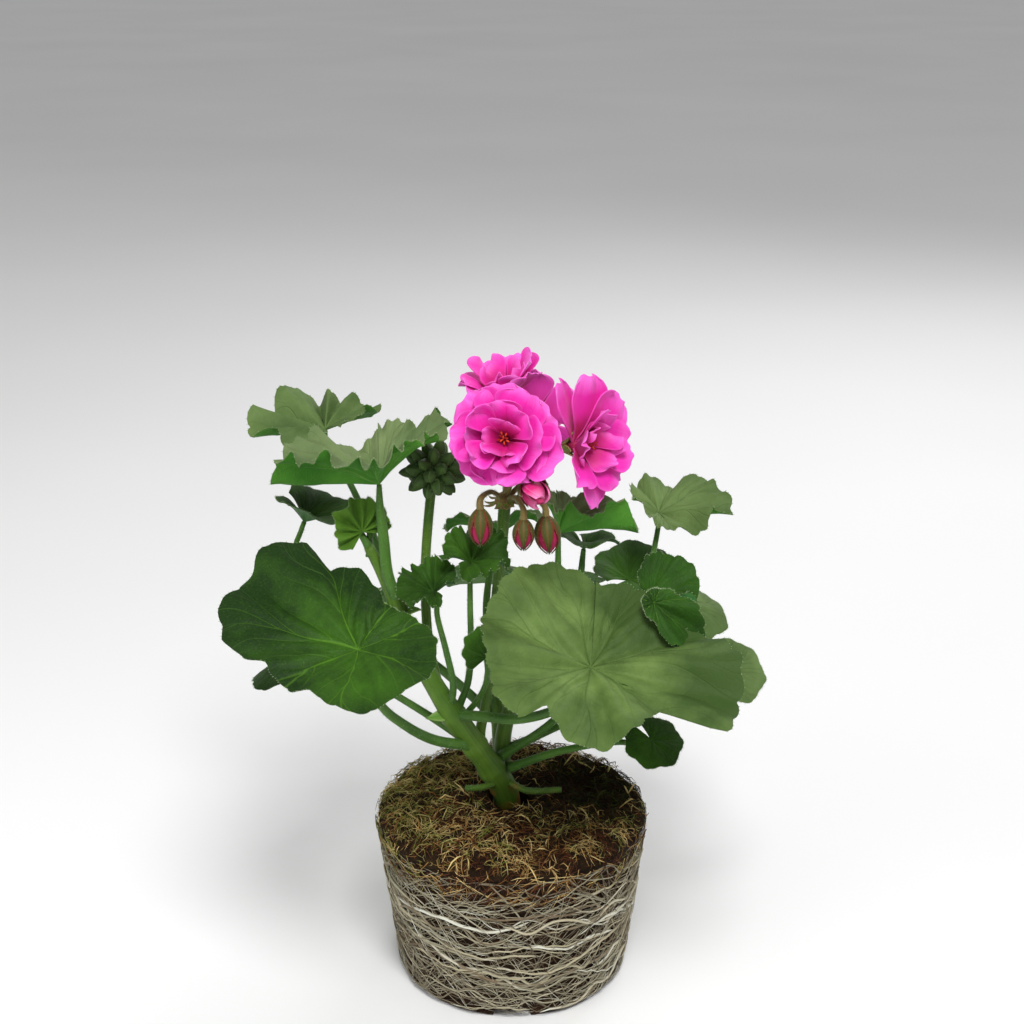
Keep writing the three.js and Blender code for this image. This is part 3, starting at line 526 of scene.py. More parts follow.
UNDER_COLOURS = {
    "leaf_dark": (srgb(58, 104, 44), srgb(36, 74, 30), srgb(92, 134, 66), 0.5),
    "leaf_mid": (srgb(84, 130, 50), srgb(56, 98, 34), srgb(114, 152, 74), 0.5),
    "leaf_grey": (srgb(82, 140, 46), srgb(54, 106, 32), srgb(116, 158, 72), 0.5),
    "leaf_bright": (srgb(84, 146, 46), srgb(52, 112, 30), srgb(116, 162, 70), 0.5),
    "leaf_vivid": (srgb(70, 130, 60), srgb(46, 100, 44), srgb(106, 150, 80), 0.5),
    "shoot_leaf": (srgb(104, 150, 42), srgb(72, 116, 30), srgb(140, 174, 70), 0.5),
}

GREEN_STEM = stem_finish("stem_skin", srgb(94, 128, 38), srgb(48, 82, 20), srgb(150, 84, 26))
PETIOLE = stem_finish("petiole_skin", srgb(80, 122, 42), srgb(44, 82, 24), srgb(100, 94, 40))
DOWN = hair_finish("down", srgb(120, 148, 92), srgb(182, 198, 160))


# Leaves

# A blade's shade gives the depth and the direction of painted shade, which darkens the side of the blade turned away
# from the light.
LEAVES = {
    "leaf_left_large": dict(
        attach=[-51.7, -58, 157.3], face=[-0.12, -0.34, 0.93], open=[0.8, 0.5, 0.3], sinus=-2, skin="leaf_dark",
        ways=[[-179, 19, 10], [-152, 20, 10], [-138, 25, 14], [-124, 33, 12], [-108, 38, 8], [-101, 52, 12],
              [-86, 55, 14], [-73, 50, 8], [-58, 52, 12], [-40, 46, 9], [-28, 38, 6], [-18, 31, 11], [6, 29, 6],
              [26, 28, 12], [46, 31, 9], [66, 34, 6], [84, 36, 12], [94, 37, 14], [112, 33, 10], [128, 30, 12],
              [146, 26, 10], [164, 22, 11], [179, 20, 10]],
        ripple=[4, 9], overlap=0.5, shade=(0.5, -95), tooth=0.01, pleat=0.03, thickness=[2.1, 1.6],
        stalk=[[-14, -6, 94.5], [-28, -22, 105], [-39, -38, 120], [-46, -50, 134]]),
    "leaf_right_large": dict(
        attach=[27, -48, 146], face=[0.12, -0.4, 0.9], open=[0.12, 0.86, 0.45], sinus=-4, skin="leaf_mid",
        ways=[[-179, 31, 12], [-166, 38, 15], [-150, 43, 13], [-128, 43, 14], [-105, 41, 7], [-84, 39, 13],
              [-68, 37, 7], [-46, 42, 13], [-34, 40, 8], [-27, 32, 12], [-18, 36, 12], [-4, 41, 10], [10, 40, 7],
              [26, 36, 12], [42, 32, 12], [52, 30, 9], [61, 54, 10], [76, 52, 5], [92, 51, 17], [104, 47, 16],
              [113, 41, 10], [128, 31, 13], [146, 35, 17], [164, 36, 13], [179, 32, 12]],
        ripple=[5, 11], overlap=1.2, shade=(0.5, 125), tooth=0.02, pleat=0.06, thickness=[2.0, 1.7],
        stalk=[[-21, -10, 109.5], [-10, -21, 114], [2.5, -30, 117.6], [18, -42, 129]]),
    "leaf_crimped": dict(
        attach=[-47, -10, 200], face=[0, 0, 1], open=[0, 1, 0], sinus=-4, overlap=1.0, skin="leaf_bright",
        ways=[[-178, 24, 36], [-160, 22, 20], [-142, 25, 16], [-120, 33, 25], [-102, 36, 17], [-86, 37, -2],
              [-72, 38, 20], [-58, 34, 22], [-42, 32, 31], [-27, 28, 28], [-10, 26, 34], [10, 23, 34], [28, 25, 46],
              [58, 28, 46], [76, 29, 40], [90, 33, 39], [112, 33, 45], [136, 25, 40], [158, 27, 42], [178, 25, 36]],
        ripple=[24, 17], tooth=0.03, pleat=0.03, thickness=[2.3, 1.9],
        stalk=[[-41.5, -6, 152], [-45, -8, 165], [-46, -8, 178], [-47, -9, 190]]),
    "leaf_top_left": dict(
        attach=[-70, 32, 207], face=[0, 0, 1], open=[0.35, -0.94, 0], sinus=10, skin="leaf_grey",
        ways=[[-170, 14, 18], [-138, 20, 30], [-115, 23, 22], [-88, 17, 12], [-64, 18, 40], [-44, 15, 26],
              [-26, 16, 48], [-5, 17, 17], [12, 24, 27], [32, 26, 26], [48, 22, 6], [64, 29, 14], [86, 28, -2],
              [102, 19, 12], [118, 21, -4], [140, 16, -2], [158, 12, 2], [172, 9, 5]],
        ripple=[20, 13], tooth=0.03, pleat=0.03,
        stalk=[[-43, -3, 153], [-50, 12, 168], [-60, 26, 186], [-68, 31, 199]]),
    "leaf_under_crimped": dict(
        attach=[-77, 14, 177], face=[0.35, -0.05, 0.93], open=[-1, 0.3, 0], radius=17,
        slopes=[38, 34, 10], wave=[14, 3, 0], skin="leaf_dark",
        stalk=[[-36, -7, 138], [-52, 2, 145], [-70, 8, 156], [-80, 9, 167]]),
    "leaf_top_right": dict(
        attach=[55, 20, 178], face=[0, 0, 1], open=[-0.9, -0.4, 0], sinus=12, skin="leaf_grey",
        ways=[[-174, 10, 34], [-140, 9, 10], [-118, 12, -8], [-90, 13, -8], [-70, 19, -10], [-56, 20, -5],
              [-44, 21, 14], [-33, 27, 2], [-24, 27, 10], [-4, 25, 20], [19, 23, 25], [48, 15, 22], [80, 19, 31],
              [104, 15, 20], [124, 15, 36], [156, 11, 30], [174, 10, 30]],
        ripple=[18, 13], tooth=0.03, pleat=0.03,
        stalk=[[13, 12, 133], [34, 10, 136], [51, 11, 147], [53, 16, 163]]),
    "leaf_funnel": dict(
        attach=[17, 5, 176], face=[0, 0, 1], open=[0, 1, 0], sinus=-3, overlap=0.8, skin="leaf_bright",
        ways=[[-178, 16, 48], [-150, 16, 55], [-120, 20, 66], [-90, 26, 72], [-62, 22, 64], [-30, 16, 58],
              [0, 15, 50], [20, 17, 56], [50, 18, 30], [66, 22, 36], [80, 27, 28], [93, 29, 2], [106, 25, 20],
              [124, 22, 30], [148, 16, 38], [178, 16, 44]],
        ripple=[20, 15], tooth=0.03, pleat=0.03,
        stalk=[[15, 12, 136], [17, 8, 148], [17, 5, 163]]),
    "leaf_funnel_small": dict(
        attach=[27, 20, 164], face=[0.1, 0.1, 0.98], open=[-0.3, 0.9, 0.2], radius=13,
        slopes=[30, 26, -10], wave=[20, 4, 0], skin="leaf_dark",
        stalk=[[23, 14, 146], [26, 18, 155]]),
    "leaf_cup": dict(
        attach=[51, -2, 152], face=[0, 0, 1], open=[-1, 0, 0], sinus=6, slot="leaf_bright", skin="leaf_vivid",
        ways=[[-178, 6, 40], [-120, 7, 30], [-60, 10, 28], [-30, 15, 22], [-11, 17, 5], [2, 19, 24], [20, 20, 36],
              [40, 19, 48], [62, 18, 56], [96, 17, 61], [128, 12, 60], [178, 6, 48]],
        ripple=[10, 11], tooth=0.03, pleat=0.03,
        stalk=[[-4, 0, 87], [13, -5, 102], [32, -7, 124], [46, -4, 142]]),
    "leaf_right_lower": dict(
        attach=[49, -35, 165], face=[0.3, -0.75, 0.6], open=[-0.7, 0.1, 0.7], sinus=6, slot="leaf_bright", skin="leaf_vivid",
        ways=[[-178, 4, 0], [-110, 5, 10], [-60, 8, 18], [-30, 17, 10], [-10, 22, 0], [12, 22, -6], [32, 16, 10],
              [62, 8, 18], [110, 5, 10], [178, 4, 0]],
        ripple=[8, 11], tooth=0.03, pleat=0.03,
        stalk=[[9, 10, 126], [24, 0, 130], [42, -13, 144], [48, -24, 158]]),
    "leaf_right_folded": dict(
        attach=[68, 16, 143], face=[0.4, -0.45, 0.8], open=[-0.9, 0.3, 0.1], radius=14,
        slopes=[0, -20, -34], fold=[30, 90], skin="leaf_grey",
        stalk=[[8, 11, 121], [30, 15, 120], [56, 17, 130]]),
    "leaf_right_light": dict(
        attach=[80, -6, 126], face=[0.3, -0.6, 0.75], open=[-0.95, 0.2, -0.1], radius=13,
        slopes=[6, 0, -16], skin="leaf_grey",
        stalk=[[-1, 4, 88], [28, 8, 100], [60, 0, 112]]),
    "leaf_low_right": dict(
        attach=[52, -8, 98], face=[0.1, -0.55, 0.83], open=[-0.6, 0.7, 0.2], radius=11,
        slopes=[8, 0, -14], skin="leaf_dark",
        stalk=[[-1, -1, 82.5], [19, -9, 94], [40, -8, 97]]),
    "leaf_behind_right": dict(
        attach=[46, 40, 143], face=[0.1, -0.3, 0.95], open=[-0.7, -0.7, 0], radius=17,
        slopes=[10, 20, -10], wave=[14, 3, 0], skin="leaf_dark",
        stalk=[[12, 11, 130], [26, 22, 131], [40, 34, 136]]),
    "leaf_crumpled_left": dict(
        attach=[-28, -16, 161], face=[-0.25, -0.45, 0.85], open=[0.7, -0.7, 0], radius=12,
        slopes=[20, 30, -20], wave=[36, 4, 0], sinus=14, thickness=[1.4, 1.1], skin="leaf_dark",
        ripple=[40, 15], pleat=0.2, tooth=0.05, stalk=[[-23, -10.5, 112], [-21.5, -15, 124], [-24, -15, 138], [-27, -15, 152]]),
    "leaf_crumpled_middle": dict(
        attach=[-14.5, -17, 173], face=[0.1, -0.4, 0.9], open=[-0.7, -0.7, 0], radius=13,
        slopes=[14, 24, -30], wave=[34, 4, 90], sinus=14, thickness=[1.4, 1.1], skin="leaf_dark",
        ripple=[40, 15], pleat=0.2, tooth=0.05, stalk=[[-21, -9, 109], [-16.5, -8, 121], [-15, -14, 140], [-15, -17, 157]]),
    "leaf_fan": dict(
        attach=[-9, -24, 139], face=[0.1, -0.95, 0.3], open=[0.2, 0.2, -1], radius=10,
        slopes=[10, 6, 0], fold=[40, 0], sinus=70, thickness=[1.2, 1.0], skin="leaf_dark",
        stalk=[[-19, -9, 107], [-12, -13, 118], [-9, -18, 129]]),
    "leaf_back_left": dict(
        attach=[-56, 42, 132], face=[-0.45, 0.4, 0.8], open=[0.7, -0.7, 0.2], radius=30,
        slopes=[12, 0, -22], wave=[8, 3, 0], sinus=6, thickness=[2, 1.5], skin="leaf_mid",
        stalk=[[-6, 12, 97], [-24, 22, 110], [-46, 35, 123]]),
    "leaf_back": dict(
        attach=[4, 66, 132], face=[0.05, 0.5, 0.86], open=[0, -0.9, 0.4], radius=34,
        slopes=[14, 2, -20], wave=[9, 3, 40], sinus=6, thickness=[2, 1.6], skin="leaf_mid",
        stalk=[[-5, 14, 100], [-2, 34, 114], [1, 54, 126]]),
    "leaf_back_right": dict(
        attach=[60, 56, 118], face=[0.4, 0.4, 0.82], open=[-0.7, -0.7, 0.2], radius=28,
        slopes=[12, 0, -20], wave=[8, 3, 80], sinus=6, thickness=[1.9, 1.5], skin="leaf_dark",
        stalk=[[-4, 13, 97], [20, 30, 104], [48, 48, 112]]),
    "leaf_left_side": dict(
        attach=[-74, 6, 128], face=[-0.45, 0.1, 0.88], open=[0.9, -0.2, 0.3], radius=24,
        slopes=[12, 0, -22], wave=[9, 3, 0], sinus=6, skin="leaf_dark",
        stalk=[[-13, -3, 92], [-34, 2, 105], [-60, 5, 120]]),
    "leaf_back_high": dict(
        attach=[-6, 44, 160], face=[-0.1, 0.4, 0.9], open=[0.3, -0.9, 0.3], radius=21,
        slopes=[26, 24, -14], wave=[24, 4, 0], skin="leaf_grey", ripple=[12, 13],
        stalk=[[-9, 24, 124], [-10, 32, 136], [-8, 40, 150]]),
}

# The tip of the side shoot: young pleated leaves, still half folded
SHOOT_LEAVES = [
    dict(attach=[-54, -5, 180], face=[0.3, -0.9, 0.25], open=[0.35, 0, -1], radius=11.5, skin="shoot_leaf",
         slopes=[10, 16, 0], wave=[30, 7, 0], pleat=0.3, tooth=0.04, sinus=64, stalk=[[-51, -4, 171], [-52.5, -4, 175]]),
    dict(attach=[-53, 1, 180], face=[-0.4, 0.75, 0.5], open=[0.2, -0.2, -1], radius=9, skin="shoot_leaf",
         slopes=[10, 16, 0], wave=[30, 7, 0], pleat=0.3, tooth=0.04, sinus=60, stalk=[[-51, -4, 171], [-52, -1, 175]]),
]


def margin(share, lean):
    """The margin's distance: a round blade, fullest at its lean, with shallow lobes."""
    angle = share * math.pi
    full = 1 + 0.13 * np.cos(angle - math.radians(lean))
    basal = 1 - 0.16 * np.maximum(0, (np.abs(share) - 0.82) / 0.18) ** 2
    return full * basal * (1 + 0.045 * np.cos(LOBES * angle))


def by_way(leaf, angle, column):
    """A value of the leaf's ways in each direction, eased from one way to the next."""
    ways = np.array(leaf["ways"], float)
    turns = np.radians(ways[:, 0])
    after = np.clip(np.searchsorted(turns, angle), 1, len(ways) - 1)
    share = smoothstep(angle, turns[after - 1], turns[after])
    return mix(ways[after - 1, column], ways[after, column], share)


def slope_at(slopes, reach):
    """Slope at a reach from the centre, 0, to the margin, 1, through three given slopes."""
    centre, middle, rim = slopes
    inner = centre * (1 - reach) * (1 - 2 * reach)
    return inner + middle * 4 * reach * (1 - reach) + rim * reach * (2 * reach - 1)


def vein_distance(share, reach):
    """How far a spot lies from the nearest of the stronger veins, in leaf radii."""
    angle = share * math.pi
    turn = share * LOBES / 2 + VEIN_SWAY * np.sin(8 * reach + 5 * angle)
    lean = (turn - np.clip(np.round(turn), -3, 3)) * 2 * math.pi / LOBES
    beside = reach * np.abs(np.sin(lean))
    along = reach * np.cos(lean) - 0.12 * (lean > 0)
    branch = np.abs(beside - FORK_SPREAD * np.maximum(along - FORK, 0))
    low = np.abs(beside - LOW_FORK_SPREAD * np.maximum(along - LOW_FORK, 0))
    return np.minimum(beside, np.minimum(branch, low))


def blade_grid(leaf, columns, rows, teeth):
    """Points of a blade from its centre outwards, and their pattern coordinates."""
    fold, fold_axis = leaf.get("fold", (0, 0))
    wave, waves, phase = leaf.get("wave", (0, 4, 0))
    ripple, ripples = leaf.get("ripple", (5, 9))
    share = np.linspace(-1, 1, columns + 1)[None]
    angle = share * (math.pi - math.radians(leaf.get("sinus", 9)))
    walk = 3
    steps = rows * walk
    at = (np.arange(steps)[:, None] + 0.5) / steps
    if "ways" in leaf:
        length = by_way(leaf, angle, 1)
        slope = by_way(leaf, angle, 2) * (1.25 - 0.5 * at)
    else:
        length = leaf["radius"] * margin(share, leaf.get("lean", 0))
        slope = slope_at(leaf["slopes"], at)
    slope = slope + fold * at * (0.5 - 0.5 * np.cos(2 * (angle - math.radians(fold_axis))))
    slope = slope + wave * at**2 * np.sin(waves * angle + math.radians(phase))
    uneven = 0.7 * np.sin(ripples * angle + 1 + np.sin(3 * angle)) + 0.5 * np.sin(1.7 * ripples * angle + 2)
    slope = slope + ripple * at**4 * uneven
    out = np.cumsum(np.cos(np.radians(slope)), 0)[walk - 1::walk] * length / steps
    up = np.cumsum(np.sin(np.radians(slope)), 0)[walk - 1::walk] * length / steps
    reach = np.arange(1, rows + 1)[:, None] / rows
    tooth = 2 * np.abs(np.cos(teeth * angle / 2)) ** 0.6 - 1.2
    grow = 1 + leaf.get("tooth", 0.014) * tooth * reach**7
    puff = smoothstep(vein_distance(share, reach), 0, 0.05) * np.minimum(reach * 4, 1) * (1 - reach**6)
    pleat = 0.5 - 0.5 * np.cos(LOBES * share * math.pi)
    relief = 0.014 * puff + leaf.get("pleat", 0.04) * pleat * reach * (1.3 - 0.5 * reach)
    up = up * grow + relief * leaf_reach(leaf)
    overlap = leaf.get("overlap", 0)
    up = up + overlap * share**15 * reach
    out = out * grow
    local = np.stack([out * np.cos(angle), out * np.sin(angle), up], -1)
    local = np.concatenate([np.zeros((1, columns + 1, 3)), local])
    spot = reach * length / leaf_reach(leaf)
    flat = np.stack([spot * np.cos(share * math.pi), spot * np.sin(share * math.pi)], -1)
    flat = np.concatenate([np.zeros((1, columns + 1, 2)), flat])
    axes = frame_of(leaf["face"], -np.asarray(leaf["open"], float))
    return local @ axes + np.asarray(leaf["attach"], float), flat


def leaf_reach(leaf):
    """A blade's largest radius."""
    if "ways" in leaf:
        return max(length for _, length, _ in leaf["ways"])
    return leaf["radius"] * 1.13


def leaf_detail(leaf):
    """Columns, rows and teeth of a blade by its size."""
    reach = leaf_reach(leaf)
    if reach > 32:
        return 196, 26, 35
    if reach > 21:
        return 140, 17, 31
    return 112, 13, 21


def add_leaf(shape, leaf, rng):
    """A blade in slots 0 and 1, its petiole in slot 2 and its down in slot 3."""
    columns, rows, teeth = leaf_detail(leaf)
    grid, flat = blade_grid(leaf, columns, rows, teeth)
    reach = np.linspace(0, 1, rows + 1)[:, None]
    share = np.linspace(-1, 1, columns + 1)[None]
    # Painted shade: the tone falls towards the rim on the side the shade names, darkening that side of the blade.
    depth, shaded_side = leaf.get("shade", (0, 0))
    tone = 0.5 - depth * reach * (0.5 + 0.5 * np.cos(share * math.pi - math.radians(shaded_side)))
    rim = sheet(shape, grid, BLADE_THICKNESS * (1.2 - 0.6 * reach), flat, tone, slots=(0, 1))
    attach = np.asarray(leaf["attach"], float)
    edge = rim[rows:rows + columns]
    fringe = edge[rng.integers(0, columns, 5 * columns)]
    hairs(shape, fringe, unit(fringe - attach), 0.7, rng, slot=3)
    below = attach - 4 * unit(leaf["face"])
    thick, thin = leaf.get("thickness", (1.7, 1.2))
    path = smooth_path([*leaf["stalk"], below, attach - 0.3 * unit(leaf["face"])], 34)
    radii = spread([thick, mix(thick, thin, 0.5), thin, 0.9], len(path))
    radii[:4] *= [1.35, 1.2, 1.1, 1.03]
    tube(shape, path, radii, 12, slot=2, ribs=0.05, rib_count=3)
    hairy(shape, path, radii, 9, 0.9, rng, slot=3)


def build_leaves():
    rng = np.random.default_rng(3)
    skins = {}
    for skin, colours in LEAF_COLOURS.items():
        upper = leaf_finish(skin + "_upper", *colours)
        lower = leaf_finish(skin + "_under", *UNDER_COLOURS[skin], under=True)
        skins[skin] = [upper, lower, PETIOLE, DOWN]
    for name, leaf in LEAVES.items():
        shape = Shape()
        add_leaf(shape, leaf, rng)
        shape.piece(name + "_fine", skins[leaf["skin"]], leaf.get("slot", leaf["skin"]), [name])
    shape = Shape()
    for leaf in SHOOT_LEAVES:
        add_leaf(shape, leaf, rng)
    shape.piece("shoot_tip_fine", skins["shoot_leaf"], "shoot_leaf", ["shoot_tip"])


# Stems

STOCK = [[-1, 4, 53], [-3, 2, 71], [-8, -2, 83], [-14, -6, 94.5], [-22, -10, 109.5], [-30, -10, 124],
         [-37, -8, 138], [-42, -6, 152], [-47, -5, 164], [-52, -4, 174]]
BRANCHES = [
    (STOCK, [5.2, 5.4, 5.0, 4.4, 4.6, 3.7, 3.3, 3.5, 2.6, 1.8], (83, 94.5, 109.5, 138, 152)),
    ([[-4, 2, 79], [-3, 6, 95], [4, 9, 116], [14, 12, 135], [24, 14, 148]], [3.4, 3, 2.6, 2.2, 1.7], (121, 133)),
    ([[-4, 4, 80], [-5, 12, 95], [-8, 22, 118], [-9, 26, 130]], [3.4, 3, 2.6, 1.8], (98, 122)),
    ([[-5, -3, 78], [-11, -7, 77.5], [-17.5, -9, 78]], [1.3, 1.2, 1.1], ()),
    ([[-2, -1, 77], [6, -7, 76], [18.5, -10, 78]], [1.3, 1.2, 1.1], ()),
]
STIPULES = [
    ([-24, -12, 110], [-0.9, -0.4, 0.15], [0.1, -0.6, 0.8]),
    ([-39, -8, 149], [0.7, -0.5, 0.6], [-0.5, -0.2, 0.8]),
    ([-43, -7, 150], [-0.7, -0.4, 0.5], [0.5, -0.2, 0.8]),
]


def build_stems():
    """The stock and its branches, swollen at their nodes, with rusty bark low down."""
    rng = np.random.default_rng(4)
    shape = Shape()
    for corners, radii, knuckles in BRANCHES:
        path = smooth_path(corners, 70)
        thick = spread(radii, 70)
        for height in knuckles:
            thick += 0.8 * np.exp(-((path[:, 2] - height) / 1.8) ** 2)
        tone = smoothstep(path[:, 2], 66, 100) * 0.9 + 0.1
        tube(shape, path, thick, 20, tone=tone, ribs=0.02, rib_count=5)
        hairy(shape, path, thick, 14, 0.9, rng, slot=2)
    for root, grow, face in STIPULES:
        scale = dict(root=root, grow=grow, face=face, length=8, width=6, rise=20, curl=-20, twist=0, ruffle=0)
        grid, flat = petal_grid(scale, 10, 8, pointed=True)
        rim = sheet(shape, grid, 0.35, flat, slots=(1, 1))
        hairs(shape, rim, unit(rim - np.asarray(root)), 0.7, rng, slot=2)
    stipule = bud_finish("stipule", srgb(96, 136, 50), srgb(128, 156, 84), srgb(76, 118, 40))
    shape.piece("main_stem_fine", [GREEN_STEM, stipule, DOWN], "stem", ["main_stem"])


# Bloom

HUB = np.array([-2.5, -8, 193])
FLORETS = {
    # petals: angle, length, width, rise at the claw, rise at the tip, twist, ruffle
    "floret_front": dict(
        at=[-2, -19, 219], axis=[-0.12, -0.93, 0.36], stamens="stamens_front",
        petals=[
            (5, 19, 21, 34, -10, 0.15, 1.3), (46, 20, 21, 28, -16, -0.2, 1.5), (88, 19, 19, 36, -6, 0.2, 1.8),
            (130, 18, 20, 32, -10, -0.25, 1.9), (172, 16, 21, 36, 0, 0.15, 1.9), (214, 16, 21, 30, -14, -0.1, 1.4),
            (254, 20, 22, 24, -6, 0.1, 0.7), (296, 18, 21, 30, -14, -0.2, 1.2), (334, 18, 20, 38, -6, 0.2, 1.3),
            (22, 17, 20, 66, 26, 0.5, 2.0), (68, 16, 17, 62, 16, -0.5, 2.6), (108, 15, 19, 64, 10, 0.45, 2.8),
            (152, 14, 19, 60, 26, -0.5, 2.6), (206, 13, 15, 70, 24, 0.5, 2.2), (262, 15, 20, 50, 14, 0.2, 1.2),
            (318, 16, 17, 66, 34, -0.55, 2.2), (84, 12, 13, 80, 40, 0.6, 2.8), (176, 11, 13, 78, 48, -0.6, 2.6),
            (340, 12, 13, 80, 54, 0.5, 2.2)]),
    "floret_top": dict(
        at=[-2, 1, 227], axis=[-0.05, -0.05, 1],
        petals=[
            (312, 18, 23, 74, 48, 0.1, 0.8), (20, 17, 21, 64, 40, -0.2, 1.0), (75, 17, 21, 58, 30, 0.2, 1.0),
            (130, 17, 20, 42, 6, 0.1, 1.0), (172, 17, 20, 44, 8, -0.2, 1.1), (215, 16, 20, 50, 16, 0.2, 1.2),
            (264, 17, 20, 58, 30, -0.1, 1.1), (340, 13, 14, 72, 60, 0.3, 1.6), (100, 13, 15, 70, 46, -0.3, 1.6),
            (220, 12, 14, 70, 50, 0.3, 1.8)]),
    "floret_right": dict(
        at=[22, -10, 214], axis=[0.8, -0.52, 0.26], stamens="stamens_right",
        petals=[
            (20, 26, 13, 14, 10, 0.1, 0.6), (350, 25, 21, 34, 8, -0.1, 0.9), (308, 23, 21, 46, 18, 0.1, 0.8),
            (132, 18, 14, 38, 8, 0.2, 1.0), (174, 22, 17, 26, -6, -0.1, 0.6), (208, 20, 18, 38, 6, 0.1, 0.9),
            (250, 20, 20, 48, 22, -0.1, 1.0), (336, 16, 17, 62, 40, 0.4, 1.8), (90, 13, 13, 60, 32, -0.4, 1.8),
            (216, 14, 15, 62, 38, 0.4, 1.8), (290, 12, 13, 72, 50, -0.5, 2.0), (20, 11, 11, 72, 56, 0.5, 2.0)]),
    "floret_back": dict(
        at=[7, 15, 216], axis=[0.3, 0.9, 0.3],
        petals=[
            (0, 19, 17, 30, -12, 0.2, 1.2), (70, 19, 17, 32, -6, -0.2, 1.2), (142, 18, 16, 28, -10, 0.2, 1.4),
            (214, 19, 17, 30, -14, -0.1, 1.2), (286, 18, 17, 34, -4, 0.2, 1.2), (30, 13, 12, 54, 26, -0.3, 1.7),
            (150, 13, 12, 52, 24, 0.3, 1.7), (270, 13, 12, 56, 28, -0.3, 1.7), (90, 9, 8, 66, 60, 0.4, 1.4)]),
}
BUDS = {
    "bud_opening": dict(at=[7.5, -25, 202], along=[0.45, -0.75, -0.35], size=[12, 10.5]),
    "bud_left": dict(at=[-11, -24, 189], along=[0, -0.1, -1], size=[13, 8]),
    "bud_middle": dict(at=[4, -22, 185.5], along=[0, -0.1, -1], size=[11, 7]),
    "bud_right": dict(at=[12.5, -18, 184], along=[0.1, -0.1, -1], size=[13.5, 8.6]),
}
UMBEL_CENTRE = np.array([-28.5, 8, 199])
FLORET_SEED = 31
PETAL_STEPS = 20


def petal_grid(petal, rows, columns, pointed=False):
    """Points of a petal from its claw to its tip, and their pattern coordinates."""
    along = np.linspace(0, 1, rows + 1)[:, None]
    across = np.linspace(-1, 1, columns + 1)[None]
    claw = 0.18 + 0.82 * smoothstep(along, 0, 0.74)
    tip = np.sqrt(np.maximum(0, 1 - (np.maximum(0, along - 0.55) / 0.52) ** 2))
    if pointed:
        claw = 0.5 + 0.5 * smoothstep(along, 0, 0.4)
        tip = 1 - along**1.6 * 0.97
    half = petal["width"] / 2 * claw * tip
    slope = np.radians(mix(petal["rise"], petal["curl"], along[:-1]))
    step = petal["length"] / rows
    out = np.concatenate([[[0]], np.cumsum(np.cos(slope) * step, 0)])
    up = np.concatenate([[[0]], np.cumsum(np.sin(slope) * step, 0)])
    phase = petal.get("phase", 0)
    ruffle = petal["ruffle"]
    bulge = (petal.get("cup", 0.1) * across**2 + petal["twist"] * across) * half
    swell = ruffle * along**2 * np.sin(4 * across + phase)
    frill = 0.4 * ruffle * along**4 * np.sin(9 * across + 2 * phase) * (1 - pointed)
    rounding = 1 - (0.08 * across**2 + 0.035 * np.sin(5 * across + phase)) * along**5 * (1 - pointed)
    local = np.stack(np.broadcast_arrays(out * rounding, across * half, up + bulge + swell + frill), -1)
    flat = np.stack(np.broadcast_arrays(across, along), -1)
    axes = frame_of(petal["face"], petal["grow"])
    return local @ axes + np.asarray(petal["root"], float), flat


def floret_petals(floret, seed):
    """The petals of a floret from its list, the later ones set a little higher on the axis."""
    random = seeded(seed)
    at = np.asarray(floret["at"], float)
    axis = unit(floret["axis"])
    side = frame_of(axis, (0, 0, 1))
    for order, (angle, length, width, rise, curl, twist, ruffle) in enumerate(floret["petals"]):
        turn = math.radians(angle)
        spoke = math.cos(turn) * side[0] + math.sin(turn) * side[1]
        yield dict(
            root=at + spoke * 1.2 + axis * order * 0.1, grow=spoke, face=axis, length=length, width=width,
            rise=rise, curl=curl, twist=twist, ruffle=ruffle, cup=mix(0.05, 0.3, rise / 70), phase=6 * next(random))


def ovoid_grid(centre, along, length, width, rows=16, columns=24, swell=None):
    """Rings of points round a long round body, and their pattern coordinates."""
    level = np.linspace(0.004, 0.996, rows + 1)[:, None]
    angle = np.linspace(0, 2 * math.pi, columns, endpoint=False)[None]
    radius = width / 2 * np.sin(math.pi * level) ** 0.6
    if swell is not None:
        radius = radius * swell(level, angle)
    local = np.stack(np.broadcast_arrays(
        radius * np.cos(angle), radius * np.sin(angle), length * (level - 0.5)), -1)
    axes = frame_of(along, (1, 0, 0) if abs(unit(along)[2]) > 0.9 else (0, 0, 1))
    flat = np.stack(np.broadcast_arrays(angle / math.pi - 1, level), -1)
    return local @ axes + np.asarray(centre, float), flat


def add_ovoid(shape, centre, along, length, width, slot=0, tone=0.5, **more):
    grid, flat = ovoid_grid(centre, along, length, width, **more)
    faces = grid_faces(*grid.shape[:2], wrap=True)
    shape.add(grid, faces, flat, tone, slot)


def scale_grid(centre, along, length, width, turn, half_angle, levels, stand, spiral=0.0, rows=14, columns=10):
    """A bud scale or wrapped petal that lies on a long round body."""
    level = np.linspace(levels[0], levels[1], rows + 1)[:, None]
    across = np.linspace(-1, 1, columns + 1)[None]
    grown = (level - levels[0]) / (levels[1] - levels[0])
    reach = half_angle(grown) * across
    radius = width / 2 * np.sin(math.pi * np.clip(level, 0.02, 0.985)) ** 0.6
    radius = radius + stand * (1 - 0.5 * across**2) + spiral * (across + 1) * grown
    angle = turn + reach
    local = np.stack(np.broadcast_arrays(
        radius * np.cos(angle), radius * np.sin(angle), length * (level - 0.5)), -1)
    axes = frame_of(along, (1, 0, 0) if abs(unit(along)[2]) > 0.9 else (0, 0, 1))
    flat = np.stack(np.broadcast_arrays(across, grown), -1)
    return local @ axes + np.asarray(centre, float), flat


